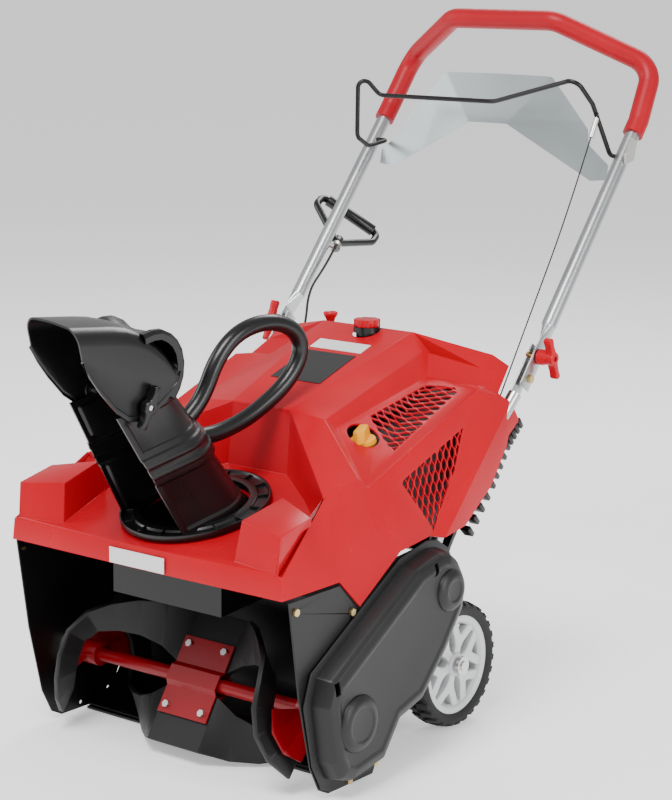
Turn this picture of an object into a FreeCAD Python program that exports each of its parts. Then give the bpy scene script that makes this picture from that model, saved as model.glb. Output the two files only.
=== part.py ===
"""Single-stage snow thrower, 21 inch clearing width.

The row frame has +Z up, -Y at the front (intake side) and +X at the belt side.
Its origin is on the ground under the middle of the machine.  Sub-parts are laid
out from the wheel axle line (y = 0 there) and moved back by dim.axle_y.
"""
import math
import os

import FreeCAD
import Part
import Sketcher
from FreeCAD import Placement, Rotation, Vector

DIMENSIONS = {
    "axle_y": 40.0,           # wheel axle line in the row frame
    "plate_x": 273.0,          # inner face of each side plate
    "plate_gauge": 3.0,
    "shell_wall": 3.0,         # moulded plastic wall
    "wheel_radius": 102.0,
    "rim_radius": 80.0,
    "wheel_inner_x": 205.0,
    "wheel_width": 46.0,
    "axle_radius": 8.0,
    "auger_y": -345.0,
    "auger_z": 112.0,
    "auger_radius": 107.5,
    "auger_shaft_radius": 11.0,
    "paddle_gauge": 8.0,
    "paddle_half_width": 150.0,
    "crank_y": -117.0,
    "crank_z": 263.0,
    "crank_radius": 12.0,
    "auger_pulley_radius": 48.0,
    "crank_pulley_radius": 22.0,
    "idler_pulley_radius": 12.0,
    "idler_y": -241.0,
    "idler_z": 202.5,
    "idler_pivot_y": -177.0,
    "idler_pivot_z": 218.0,
    "belt_x": 288.0,           # inner face of the belt line
    "belt_width": 13.0,
    "chute_y": -350.0,         # chute turntable centre on the deck
    "chute_z": 388.0,
    "deck_slope": 14.0,
    "chute_turn": -10.4,
    "ring_radius": 117.0,
    "duct_radius": 78.0,
    "chute_wall": 3.0,
    "pivot_forward": 102.0,    # deflector hinge, forward of and above the ring centre
    "pivot_up": 221.0,
    "tube_radius": 12.5,
    "tube_x": 262.0,
    "fold_y": 154.0,
    "fold_z": 547.0,
    "bail_y": 432.0,
    "bail_z": 886.0,
    "bail_wire": 4.0,
    "running_gap": 0.05,
    "free_gap": 0.4,
}

doc = FreeCAD.newDocument("snow_thrower")
sheet = doc.addObject("Spreadsheet::Sheet", "dim")
for row, (alias, number) in enumerate(DIMENSIONS.items(), 1):
    sheet.set(f"A{row}", alias)
    sheet.set(f"B{row}", str(number))
    sheet.setAlias(f"B{row}", alias)
doc.recompute()

NODES = []
X_AXIS = Vector(1, 0, 0)
Y_AXIS = Vector(0, 1, 0)
Z_AXIS = Vector(0, 0, 1)
ALONG_X = Rotation(Y_AXIS, 90)
ALONG_Y = Rotation(X_AXIS, -90)
UPRIGHT = Rotation()


# ---------------------------------------------------------------- helpers

def number(size):
    """A size as a number: plain, or an expression in the sheet's names."""
    return float(sheet.evalExpression(size)) if isinstance(size, str) else float(size)


def bind(obj, prop, size):
    """Tie a property to the sheet, or to a fixed local size."""
    obj.setExpression(prop, size if isinstance(size, str) else repr(float(size)))


def place(obj, x, y, z, turn=UPRIGHT):
    """Put obj at (x, y from the axle line, z) with a rotation."""
    obj.Placement = Placement(Vector(), turn)
    bind(obj, "Placement.Base.x", x)
    bind(obj, "Placement.Base.y", f"dim.axle_y + {y}")
    bind(obj, "Placement.Base.z", z)
    return obj


def node(obj, label):
    """Register obj as a sub-part under its own label."""
    obj.Label = label
    NODES.append(obj)
    return obj


def disc(name, radius, length, x, y, z, turn=ALONG_X):
    """A cylinder from (x, y, z) along its turned axis."""
    obj = doc.addObject("Part::Cylinder", name)
    bind(obj, "Radius", radius)
    bind(obj, "Height", length)
    return place(obj, x, y, z, turn)


def block(name, size, x, y, z, turn=UPRIGHT):
    """A box with its low corner at (x, y, z)."""
    obj = doc.addObject("Part::Box", name)
    for prop, value in zip(("Length", "Width", "Height"), size):
        bind(obj, prop, value)
    return place(obj, x, y, z, turn)


def fused(name, parts):
    obj = doc.addObject("Part::MultiFuse", name)
    obj.Shapes = parts
    return obj


def cut(name, base, tools):
    obj = doc.addObject("Part::Cut", name)
    obj.Base = base
    obj.Tool = tools[0] if len(tools) == 1 else fused(name + "_tools", tools)
    return obj


def ring(name, outer, inner, length, x, y, z, turn=ALONG_X):
    """A cylinder with a bore right through."""
    return cut(name, disc(name + "_outside", outer, length, x, y, z, turn),
               [disc(name + "_bore", inner, length, x, y, z, turn)])


def body_at(label, x, y, z, turn=UPRIGHT):
    body = doc.addObject("PartDesign::Body", label)
    return place(body, x, y, z, turn)


def sketch_on(body, plane, offset=0.0):
    """An empty sketch on one of the body's own origin planes."""
    sketch = body.newObject("Sketcher::SketchObject", body.Name + "_sketch")
    support = [f for f in body.Origin.OriginFeatures if f.Role == plane + "_Plane"][0]
    sketch.AttachmentSupport = (support, "")
    sketch.MapMode = "FlatFace"
    bind(sketch, "AttachmentOffset.Base.z", offset)
    return sketch


def draw(sketch, points):
    """A closed outline of straight edges, every corner dimensioned from the origin."""
    first = sketch.GeometryCount
    count = len(points)
    at = [Vector(number(u), number(v), 0) for u, v in points]
    sketch.addGeometry([Part.LineSegment(at[i], at[(i + 1) % count]) for i in range(count)], False)
    joints = [Sketcher.Constraint("Coincident", first + i, 2, first + (i + 1) % count, 1)
              for i in range(count)]
    sketch.addConstraint(joints)
    for i, corner in enumerate(points):
        for kind, value, size in zip(("DistanceX", "DistanceY"), (at[i].x, at[i].y), corner):
            index = sketch.addConstraint(Sketcher.Constraint(kind, -1, 1, first + i, 1, value))
            if isinstance(size, str):
                sketch.setExpression(f"Constraints[{index}]", size)
    return sketch


def draw_circle(sketch, u, v, radius):
    """A circle dimensioned from the origin."""
    centre = Vector(number(u), number(v), 0)
    index = sketch.addGeometry(Part.Circle(centre, Z_AXIS, number(radius)), False)
    for kind, value, size in (("DistanceX", centre.x, u), ("DistanceY", centre.y, v)):
        place_at = sketch.addConstraint(Sketcher.Constraint(kind, -1, 1, index, 3, value))
        if isinstance(size, str):
            sketch.setExpression(f"Constraints[{place_at}]", size)
    size_at = sketch.addConstraint(Sketcher.Constraint("Radius", index, number(radius)))
    if isinstance(radius, str):
        sketch.setExpression(f"Constraints[{size_at}]", radius)
    return sketch


def pad(body, sketch, length, midplane=False, reverse=False):
    feature = body.newObject("PartDesign::Pad", body.Name + "_pad")
    feature.Profile = sketch
    feature.Midplane = midplane
    feature.Reversed = reverse
    bind(feature, "Length", length)
    doc.recompute()
    return feature


def pocket(body, sketch, length, midplane=False, reverse=False):
    """A pocket that must take material away."""
    before = body.Shape.Volume
    feature = body.newObject("PartDesign::Pocket", body.Name + "_pocket")
    feature.Profile = sketch
    feature.Midplane = midplane
    feature.Reversed = reverse
    bind(feature, "Length", length)
    doc.recompute()
    if body.Shape.Volume > before - 1.0:
        raise ValueError(f"{body.Name}: the pocket cuts nothing")
    return feature


def loft(body, sections, plane, cutting=False):
    """A ruled loft through outlines given as (offset along the plane's normal, points)."""
    sketches = [draw(sketch_on(body, plane, offset), points) for offset, points in sections]
    kind = "PartDesign::SubtractiveLoft" if cutting else "PartDesign::AdditiveLoft"
    feature = body.newObject(kind, body.Name + "_loft")
    feature.Profile = sketches[0]
    feature.Sections = sketches[1:]
    feature.Ruled = True
    doc.recompute()
    return feature


def round_edges(body, radius, wanted):
    """Fillet the edges of the tip whose middle passes the test."""
    tip = body.Tip
    names = [f"Edge{i}" for i, edge in enumerate(tip.Shape.Edges, 1)
             if wanted(edge, edge.valueAt((edge.FirstParameter + edge.LastParameter) / 2))]
    feature = body.newObject("PartDesign::Fillet", body.Name + "_fillet")
    feature.Base = (tip, names)
    bind(feature, "Radius", radius)
    doc.recompute()
    return feature


def runs_along(edge, axis):
    """True for a straight edge parallel to the axis."""
    if not isinstance(edge.Curve, Part.Line):
        return False
    return abs(abs(edge.Curve.Direction.dot(axis)) - 1) < 1e-4


def plate(label, plane, points, length, x, y, z, turn=UPRIGHT, holes=(), midplane=False):
    """A padded outline with round holes through it."""
    body = body_at(label, x, y, z, turn)
    sketch = draw(sketch_on(body, plane), points)
    for u, v, radius in holes:
        draw_circle(sketch, u, v, radius)
    pad(body, sketch, length, midplane)
    return body


def mirrored(points):
    """Half an outline (x, v) from bottom centre up, closed by its mirror image."""
    return points + [(-u, v) for u, v in reversed(points)]


def path_of(points, bends):
    """Straight runs joined by tangent arcs of the given bend radii, as one wire."""
    edges = []
    start = points[0]
    for i in range(1, len(points) - 1):
        corner = points[i]
        back = (points[i - 1] - corner).normalize()
        ahead = (points[i + 1] - corner).normalize()
        half_turn = (math.pi - back.getAngle(ahead)) / 2
        reach = bends[i - 1] * math.tan(half_turn)
        enter = corner + back * reach
        leave = corner + ahead * reach
        inward = (back + ahead).normalize()
        middle = corner + inward * (bends[i - 1] / math.cos(half_turn) - bends[i - 1])
        edges.append(Part.LineSegment(start, enter).toShape())
        edges.append(Part.Arc(enter, middle, leave).toShape())
        start = leave
    edges.append(Part.LineSegment(start, points[-1]).toShape())
    return Part.Wire(edges)


def swept(points, bends, radius):
    """A round bar along a bent path."""
    route = path_of(points, bends)
    heading = (points[1] - points[0]).normalize()
    section = Part.Wire([Part.makeCircle(radius, points[0], heading)])
    return route.makePipeShell([section], True, False)


def shaped(label, shape, turn=UPRIGHT, x=0.0, y=0.0, z=0.0):
    """A sub-part whose shape is made directly, laid out from the axle line."""
    obj = doc.addObject("Part::Feature", label)
    obj.Shape = shape
    place_at = Placement(Vector(x, number("dim.axle_y") + y, z), turn)
    obj.Placement = place_at.multiply(shape.Placement)
    return node(obj, label)


def bolt(radius, length, head_radius, head_length):
    """A hexagon-headed bolt: shank up +Z from the head's seat, head below."""
    hexagon = Part.makePolygon([Vector(head_radius * math.cos(math.radians(60 * i)),
                                       head_radius * math.sin(math.radians(60 * i)), 0)
                                for i in range(7)])
    head = Part.Face(hexagon).extrude(Vector(0, 0, -head_length))
    return head.fuse(Part.makeCylinder(radius, length)).removeSplitter()


# ---------------------------------------------------------------- chassis

PLATE_OUTLINE = [
    (-463, 313), (-440, 166), (-413, 54), (-392, 14), (-370, 3), (-262, 3), (-232, 58),
    (-217, 78), (-172, 90), (-115, 158), (-66, 238), (-75, 300), (-118, 335), (-204, 328),
    (-301, 267), (-347, 314),
]
HOUSING_BOLTS = [(-449, 297), (-318, 268)]
COVER_BOLTS = [(-326, 12), (-262, 21)]


def side_plates():
    for side, x in (("left", "-dim.plate_x - dim.plate_gauge"), ("right", "dim.plate_x")):
        body = plate(f"side_plate_{side}", "YZ", PLATE_OUTLINE, "dim.plate_gauge", x, 0, 0,
                     holes=[("dim.auger_y", "dim.auger_z", "dim.auger_shaft_radius + 1"),
                            ("dim.crank_y", "dim.crank_z", "dim.crank_radius + 4")]
                     + [(y, z, 3.1) for y, z in HOUSING_BOLTS + COVER_BOLTS])
        node(body, f"side_plate_{side}")


def auger_housing():
    half = "dim.plate_x - dim.free_gap"
    body = body_at("auger_housing", 0, 0, 0)
    sheet_path = [(-312, 5), (-221, 5), (-221, 240), (-259, 338), (-466, 338),
                  (-466, 335), (-261, 335), (-224, 239), (-224, 8), (-312, 8)]
    pad(body, draw(sketch_on(body, "YZ"), sheet_path), f"2 * ({half})", midplane=True)
    round_edges(body, 86, lambda e, m: runs_along(e, X_AXIS) and abs(m.y + 224) < 0.5 and m.z < 20)
    round_edges(body, 89, lambda e, m: runs_along(e, X_AXIS) and abs(m.y + 221) < 0.5 and m.z < 20)
    throat = [(-110.4, -418.4), (110.4, -418.4), (110.4, -263.6), (-110.4, -263.6)]
    pocket(body, draw(sketch_on(body, "XY", 330), throat), 30, reverse=True)
    corners = sketch_on(body, "XY", 268)
    for sign in (1, -1):
        draw(corners, [(sign * 259, -470), (sign * 280, -470), (sign * 280, -215),
                       (sign * 259, -215)])
    pocket(body, corners, 80, reverse=True)
    node(body, "auger_housing")


def discharge_duct():
    """The square throat that carries snow from the auger up to the chute."""
    body = body_at("discharge_duct", 0, 0, 0)
    outside = [(-418, 250), (-264, 262), (-264, 401), (-418, 362)]
    pad(body, draw(sketch_on(body, "YZ"), outside), 220, midplane=True)
    inside = [(-107, -415), (107, -415), (107, -267), (-107, -267)]
    pocket(body, draw(sketch_on(body, "XY", 240), inside), 180, reverse=True)
    node(body, "discharge_duct")


def scraper_bar():
    bar = block("scraper_blank", ("2 * dim.plate_x - 10", 34, 4.4), "5 - dim.plate_x", -318, 0.3)
    slots = [disc(f"scraper_hole_{i}", 4, 10, x, -304, -2, UPRIGHT)
             for i, x in enumerate((-200, 0, 200))]
    node(cut("scraper_bar", bar, slots), "scraper_bar")


def engine_frame():
    """The folded pan that carries the engine and the wheel axle."""
    body = body_at("engine_frame", 0, 0, 0)
    pan = [(-185, 86), (-185, 245), (-182, 245), (-182, 121), (182, 121), (182, 245),
           (185, 245), (185, 86), (182, 86), (182, 118), (-182, 118), (-182, 86)]
    pad(body, draw(sketch_on(body, "XZ", -70), pan), 290)
    hole = draw_circle(sketch_on(body, "YZ"), 0, "dim.wheel_radius",
                       "dim.axle_radius + dim.running_gap")
    pocket(body, hole, 600, midplane=True)
    node(body, "engine_frame")


def belt_cover():
    """The moulded tub over the belt drive, with a flange, a boss over each pulley and slots."""
    flange = [(-417, 198), (-433, 152), (-412, 56), (-391, 17), (-365, 5), (-324, 5), (-259, 15),
              (-241, 32), (-224, 68), (-211, 82), (-169, 88), (-110, 156), (-63, 219), (-56, 241),
              (-61, 285), (-79, 317), (-109, 336), (-137, 339), (-205, 325)]
    tub = [(-402, 188), (-414, 150), (-398, 64), (-382, 34), (-350, 24), (-275, 36),
           (-236, 88), (-180, 104), (-121, 166), (-77, 224), (-73, 245), (-76, 280), (-92, 305),
           (-113, 321), (-135, 323), (-196, 310)]
    inside = [(-398, 186), (-410, 150), (-394, 66), (-380, 38), (-350, 28), (-277, 40),
              (-238, 92), (-182, 108), (-124, 168), (-81, 226), (-77, 245), (-80, 278), (-95, 302),
              (-115, 317), (-134, 319), (-194, 306)]
    body = body_at("belt_cover", "dim.plate_x + dim.plate_gauge + dim.free_gap", 0, 0)
    face = draw(sketch_on(body, "YZ"), flange)
    for y, z in COVER_BOLTS:
        draw_circle(face, y, z, 3.1)
    pad(body, face, 3)
    pad(body, draw(sketch_on(body, "YZ"), tub), 38)
    round_edges(body, 6, lambda e, m: m.x > 37.5 and isinstance(e.Curve, Part.Line))
    pocket(body, draw(sketch_on(body, "YZ"), inside), 35, reverse=True)
    for y, z, radius in (("dim.auger_y", "dim.auger_z", 36), ("dim.crank_y", "dim.crank_z", 26)):
        pad(body, draw_circle(sketch_on(body, "YZ", 37), y, z, radius), 10)
    slots = sketch_on(body, "YZ", 30)
    for y, z in ((-155, 296), (-380, 178)):
        draw(slots, [(y - 4, z - 12), (y + 4, z - 8), (y + 4, z + 12), (y - 4, z + 8)])
    pocket(body, slots, 20, reverse=True)
    node(body, "belt_cover")


def chassis_bolts():
    """Bolts through the side plates and the cover's flange, and the idler's pivot stud."""
    face = number("dim.plate_x + dim.plate_gauge")
    rows = [(face, HOUSING_BOLTS, -90), (-face, HOUSING_BOLTS, 90), (face + 3.4, COVER_BOLTS, -90)]
    solids = []
    for x, places, turn in rows:
        for y, z in places:
            one = bolt(3, 6, 6, 4)
            one.Placement = Placement(Vector(x, y, z), Rotation(Y_AXIS, turn))
            solids.append(one)
    pivot = Vector(face, number("dim.idler_pivot_y"), number("dim.idler_pivot_z"))
    solids.append(Part.makeCylinder(5, 9.4, pivot, X_AXIS))
    shaped("chassis_bolts", Part.makeCompound(solids))


def bearings():
    """A flanged sleeve on the inside of each side plate."""
    pair = [ring(f"bearing_{side}", 30, "dim.auger_shaft_radius + dim.running_gap", 12,
                 x, "dim.auger_y", "dim.auger_z")
            for side, x in (("left", "-dim.plate_x"), ("right", "dim.plate_x - 12"))]
    node(fused("auger_bearings", pair), "auger_bearings")


# ---------------------------------------------------------------- wheels

def wheels():
    """Tyre, spoked rim, spacer and cap on each side; one axle through the pan."""
    node(disc("axle", "dim.axle_radius", 520, -260, 0, "dim.wheel_radius"), "axle")
    for side, sign in (("left", -1), ("right", 1)):
        inner = "dim.wheel_inner_x" if sign > 0 else "-dim.wheel_inner_x - dim.wheel_width"
        tyre = ring(f"tyre_{side}", "dim.wheel_radius", "dim.rim_radius", "dim.wheel_width",
                    inner, 0, "dim.wheel_radius")
        node(tyre, f"tyre_{side}")
        body = body_at(f"rim_{side}", 215 if sign > 0 else -251, 0, "dim.wheel_radius")
        pad(body, draw_circle(sketch_on(body, "YZ"), 0, 0, "dim.rim_radius"), 36)
        window = sketch_on(body, "YZ")
        for i in range(5):
            middle = math.radians(72 * i + 90)
            corners = [(28, -0.42), (66, -0.42), (72, 0.0), (66, 0.42), (28, 0.42)]
            draw(window, [(r * math.cos(middle + a), r * math.sin(middle + a)) for r, a in corners])
        pocket(body, window, 80, midplane=True)
        bore = draw_circle(sketch_on(body, "YZ"), 0, 0, "dim.axle_radius + dim.running_gap")
        pocket(body, bore, 100, midplane=True)
        node(body, f"rim_{side}")
    for label, radius, length, middle in (("wheel_spacers", 14, 29, 199.8),
                                          ("hub_caps", 15, 6, 254.4)):
        pair = [ring(f"{label}_{i}", radius, "dim.axle_radius + dim.running_gap", length,
                     sign * middle - length / 2, 0, "dim.wheel_radius")
                for i, sign in enumerate((-1, 1))]
        node(fused(label, pair), label)


# ---------------------------------------------------------------- auger

def auger_steel():
    node(disc("auger_shaft", "dim.auger_shaft_radius", 588, -283, "dim.auger_y", "dim.auger_z"),
         "auger_shaft")
    half = [(-8.4, -63), (-8.4, -19), (-16, -12), (-16, 12), (-8.4, 19), (-8.4, 63),
            (-5.4, 63), (-5.4, 18), (-12.8, 11), (-12.8, -11), (-5.4, -18), (-5.4, -63)]
    clamps = []
    for name, lean in (("front", 33), ("rear", 213)):
        body = body_at(f"clamp_{name}", 0, "dim.auger_y", "dim.auger_z", Rotation(X_AXIS, -lean))
        pad(body, draw(sketch_on(body, "YZ"), half), 100, midplane=True)
        clamps.append(body)
    node(fused("auger_brackets", clamps), "auger_brackets")


def ribbon_half(stations, gauge):
    """A rubber strip on edge, from the middle of the shaft out to one side.

    Each station is (x, angle forward of upright in degrees, inner radius, outer radius);
    the strip's thickness lies square to the way it runs.
    """
    spine = []
    for x, angle, inner, outer in stations:
        turn = math.radians(angle)
        radial = Vector(0, -math.sin(turn), math.cos(turn))
        spine.append((Vector(x, 0, 0) + radial * 90, radial))
    wires = []
    for i, (x, angle, inner, outer) in enumerate(stations):
        ahead = spine[min(i + 1, len(spine) - 1)][0]
        behind = spine[max(i - 1, 0)][0]
        radial = spine[i][1]
        through = radial.cross(ahead - behind if i else X_AXIS).normalize() * (gauge / 2)
        on_axis = Vector(x, 0, 0)
        corners = [on_axis + radial * inner - through, on_axis + radial * outer - through,
                   on_axis + radial * outer + through, on_axis + radial * inner + through]
        wires.append(Part.makePolygon(corners + [corners[0]]))
    return Part.makeLoft(wires, True, True)


def auger_rubber():
    """Two scoops: a flat blade in the middle that winds out into a band at each side."""
    gauge = number("dim.paddle_gauge")
    radius = number("dim.auger_radius")
    stations = [(0, -33, 19, radius), (50, -33, 19, radius), (85, -14, 38, radius),
                (120, 2, 50, radius), (152, 18, 58, radius), (180, 34, 64, radius),
                (195, 55, 64, radius), (198, 76, 64, radius), (204, 98, 64, radius),
                (216, 120, 64, radius), (234, 142, 66, radius)]
    for name, turn in (("a", 0), ("b", 180)):
        half = ribbon_half(stations, gauge)
        shape = half.fuse(half.mirror(Vector(), X_AXIS)).removeSplitter()
        shape.rotate(Vector(), X_AXIS, turn)
        shaped(f"auger_paddle_{name}", shape, y=number("dim.auger_y"), z=number("dim.auger_z"))


def auger_ends():
    """Steel end arms: a hub on the shaft and two crescents beside the rubber bands."""
    inner = number("dim.auger_shaft_radius") + 4
    crescent = [(213, 76, inner, 82), (220, 98, inner, 88), (232, 120, inner, 88),
                (247, 138, inner, 80)]
    hub = Part.makeCylinder(19, 44, Vector(206, 0, 0), X_AXIS)
    arm = ribbon_half(crescent, 3)
    back = arm.copy()
    back.rotate(Vector(), X_AXIS, 180)
    bore = Part.makeCylinder(number("dim.auger_shaft_radius"), 700, Vector(-350, 0, 0), X_AXIS)
    right = hub.multiFuse([arm, back]).cut(bore)
    shaped("auger_ends", Part.makeCompound([right, right.mirror(Vector(), X_AXIS)]),
           y=number("dim.auger_y"), z=number("dim.auger_z"))


def auger_bolts():
    """Four bolts through the clamp plates, two above and two below the shaft."""
    heads = []
    lean = Rotation(X_AXIS, -33)
    for x in (-36, 36):
        for up in (-50, 50):
            one = bolt(3, 22, 6, 4)
            one.Placement = Placement(lean.multVec(Vector(x, -8.8, up)),
                                      lean.multiply(ALONG_Y))
            heads.append(one)
    shaped("auger_bolts", Part.makeCompound(heads), y=number("dim.auger_y"),
           z=number("dim.auger_z"))


# ---------------------------------------------------------------- belt drive

def pulley(label, radius, bore, x, y, z):
    """A pulley with a rim on each side of the belt line."""
    web = disc(label + "_web", radius, "dim.belt_width + 4", f"{x} - 2", y, z)
    rims = [disc(label + f"_rim_{i}", f"{radius} + 5", 2, f"{x} + {shift}", y, z)
            for i, shift in enumerate((-3, 14))]
    solid = fused(label + "_solid", [web] + rims)
    hole = disc(label + "_bore", bore, 60, f"{x} - 20", y, z)
    return node(cut(label, solid, [hole]), label)


def belt_drive():
    pulley("auger_pulley", "dim.auger_pulley_radius", "dim.auger_shaft_radius", "dim.belt_x",
           "dim.auger_y", "dim.auger_z")
    pulley("crank_pulley", "dim.crank_pulley_radius", "dim.crank_radius", "dim.belt_x",
           "dim.crank_y", "dim.crank_z")
    pulley("idler_pulley", "dim.idler_pulley_radius", 5.05, "dim.belt_x",
           "dim.idler_y", "dim.idler_z")
    node(disc("crankshaft", "dim.crank_radius", 385, -80, "dim.crank_y", "dim.crank_z"),
         "crankshaft")


def belt_loop(offset):
    """The outline of a belt around both pulleys, as a face across X."""
    far = Vector(0, number("dim.auger_y"), number("dim.auger_z"))
    near = Vector(0, number("dim.crank_y"), number("dim.crank_z"))
    big = number("dim.auger_pulley_radius") + offset
    small = number("dim.crank_pulley_radius") + offset
    span = near - far
    lead = math.atan2(span.z, span.y)
    open_angle = math.acos((big - small) / span.Length)

    def on(centre, radius, angle):
        return centre + Vector(0, radius * math.cos(angle), radius * math.sin(angle))

    high, low = lead + open_angle, lead - open_angle
    edges = [
        Part.LineSegment(on(far, big, high), on(near, small, high)).toShape(),
        Part.Arc(on(near, small, high), on(near, small, lead), on(near, small, low)).toShape(),
        Part.LineSegment(on(near, small, low), on(far, big, low)).toShape(),
        Part.Arc(on(far, big, low), on(far, big, lead + math.pi), on(far, big, high)).toShape(),
    ]
    return Part.Face(Part.Wire(edges))


def drive_belt():
    gap = number("dim.free_gap")
    width = number("dim.belt_width") - 2 * gap
    band = belt_loop(7).extrude(Vector(width, 0, 0)).cut(belt_loop(gap).extrude(Vector(width, 0, 0)))
    shaped("drive_belt", band, x=number("dim.belt_x") + gap)


def idler():
    """The swinging arm that tightens the belt, with its pulley pin."""
    dy = "(dim.idler_y - dim.idler_pivot_y)"
    dz = "(dim.idler_z - dim.idler_pivot_z)"
    outline = [(14, 14), (-4, 12), (f"{dy} - 8", f"{dz} + 9"), (f"{dy} - 10", f"{dz} - 8"),
               (-2, -12), (30, -14), (34, 2)]
    body = plate("idler_arm", "YZ", outline, 3, 278.4, "dim.idler_pivot_y", "dim.idler_pivot_z",
                 holes=[(0, 0, 5.05)])
    pin = draw_circle(sketch_on(body, "YZ", 3), dy, dz, 5)
    pad(body, pin, 24)
    node(body, "idler_arm")


# ---------------------------------------------------------------- engine

def engine():
    crank = ("dim.crank_y", "dim.crank_z")
    case = disc("crankcase", 72, 130, -60, *crank)
    barrel = block("barrel", (96, 96, 118), -40, -165, 300)
    foot = block("engine_foot", (120, 120, 90), -55, -177, 121.4)
    fins = [block(f"fin_{i}", (112, 112, 4), -48, -173, 340 + 12 * i) for i in range(7)]
    solid = fused("engine_solid", [case, barrel, foot] + fins)
    bore = disc("crank_bore", "dim.crank_radius + dim.running_gap", 400, -120, *crank)
    node(cut("engine_block", solid, [bore]), "engine_block")
    can = block("muffler", (70, 110, 70), 90, -80, 380)
    node(can, "muffler")
    node(disc("carburettor", 22, 60, -78, -70, 400, ALONG_Y), "carburettor")
    tank = block("tank_blank", (170, 110, 70), -75, 0, 470)
    neck = disc("tank_neck", 18, 81, 10, 62, 535, UPRIGHT)
    collar = disc("tank_collar", 22, 9, 10, 62, 607, UPRIGHT)
    shell = fused("tank_solid", [tank, neck, collar])
    room = block("tank_room", (164, 104, 64), -72, 3, 473)
    mouth = disc("tank_mouth", 15, 95, 10, 62, 525, UPRIGHT)
    node(cut("fuel_tank", shell, [room, mouth]), "fuel_tank")


def recoil_starter():
    crank = ("dim.crank_y", "dim.crank_z")
    drum = disc("recoil_drum", 78, 44, -152, *crank)
    room = disc("recoil_room", 74, 38, -146, *crank)
    window = block("recoil_window", (12, 40, 40), -139, -80, 310)
    node(cut("recoil_housing", drum, [room, window]), "recoil_housing")
    node(disc("recoil_reel", 60, 20, -140, *crank), "recoil_reel")
    lid = disc("cap_lid", 20, 12, 10, 62, 616.6, UPRIGHT)
    grip = [disc(f"cap_lobe_{i}", 4, 12, f"10 + 18 * cos({45 * i})", f"62 + 18 * sin({45 * i})",
                 616.6, UPRIGHT) for i in range(8)]
    node(fused("fuel_cap", [lid] + grip), "fuel_cap")


# ---------------------------------------------------------------- hood

HOOD_STATIONS = [
    # distance behind the axle line, then the right half from the side skirt up and inwards
    (-478, [(271, 316), (270, 350), (262, 352), (240, 353), (58, 353)]),
    (-345, [(276, 318), (254, 436), (248, 436), (240, 434), (236, 387)]),
    (-300, [(277, 271), (253, 446), (242, 448), (188, 459), (183, 398)]),
    (-270, [(278, 291), (252, 452), (238, 456), (154, 476), (148, 405)]),
    (-205, [(279, 334), (251, 456), (135, 510), (64, 513), (60, 421)]),
    (-200, [(279, 342), (251, 457), (140, 496), (130, 510), (60, 513)]),
    (55, [(279, 342), (251, 546), (135, 549), (122, 580), (88, 604)]),
    (80, [(278, 360), (254, 528), (240, 560), (122, 584), (92, 611)]),
    (145, [(270, 440), (262, 474), (237, 560), (222, 578), (110, 590)]),
]


def hood_ring(half, drop, inset):
    """A closed hood section; the lower edge is dropped and the rest drawn in by the wall."""
    skirt, crease = half[0], half[1]
    lower = [(skirt[0] - inset, skirt[1] - drop), (crease[0] - inset, crease[1] - inset)]
    upper = [(u - (inset if u > 200 else 0), v - inset) for u, v in half[2:]]
    return mirrored(lower + upper)


def hood():
    wall = number("dim.shell_wall")
    body = body_at("hood", 0, 0, 0)
    outer = [(-y, hood_ring(half, 0, 0)) for y, half in HOOD_STATIONS]
    loft(body, outer, "XZ")
    for sign in (1, -1):
        low = [(sign * x, y) for x, y in ((172, -460), (269, -476), (262, -345), (186, -345))]
        high = [(sign * x, y) for x, y in ((178, -452), (262, -469), (262, -397), (186, -369))]
        loft(body, [(345, low), (418, high)], "XY")
    inner = [(-y + shift, hood_ring(half, 60, wall))
             for (y, half), shift in zip(HOOD_STATIONS, (-3, -3, -4, -4, -4, -4, 0, 0, -20))]
    loft(body, inner, "XZ", cutting=True)
    throat = draw_circle(sketch_on(body, "XY", 300), 0, "dim.chute_y - 2", 86)
    pocket(body, throat, 140, reverse=True)
    neck = draw_circle(sketch_on(body, "XY", 560), 10, 62, 24)
    pocket(body, draw_circle(neck, -100, 105, 7), 90, reverse=True)
    knob = draw_circle(sketch_on(body, "XY", 440), 172, -158, 19)
    pocket(body, knob, 90, reverse=True)
    slots = sketch_on(body, "XY", 430)
    for sign in (1, -1):
        draw(slots, [(sign * 236, 90), (sign * 270, 90), (sign * 270, 170), (sign * 236, 170)])
    pocket(body, slots, 160, reverse=True)
    upper_grille(body)
    side_grille(body)
    node(body, "hood")


def lozenge(u, v, long, wide, lean):
    """A six-sided slot centred at (u, v), its long axis leaning by an angle."""
    turn = math.radians(lean)
    corners = [(long, 0), (long * 0.4, wide), (-long * 0.4, wide), (-long, 0),
               (-long * 0.4, -wide), (long * 0.4, -wide)]
    return [(u + a * math.cos(turn) - b * math.sin(turn), v + a * math.sin(turn) + b * math.cos(turn))
            for a, b in corners]


def upper_grille(body):
    """Rows of slots through the sloping panel on the belt side."""
    sketch = sketch_on(body, "XY", 440)
    for row in range(7):
        for column in range(3):
            shift = 11 if row % 2 else 0
            draw(sketch, lozenge(162 + 22 * column + shift * 0.6, -100 + 22 * row, 10, 7, 0))
    pocket(body, sketch, 140, reverse=True)


def side_grille(body):
    """Upright slots that fill a triangle on the side wall."""
    sketch = sketch_on(body, "YZ", 220)
    for column in range(6):
        for row in range(1 + column // 2):
            draw(sketch, lozenge(-132 + 24 * column, 425 + 11 * column - 30 * row, 12, 8, 65))
    pocket(body, sketch, 80, reverse=True)


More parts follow.
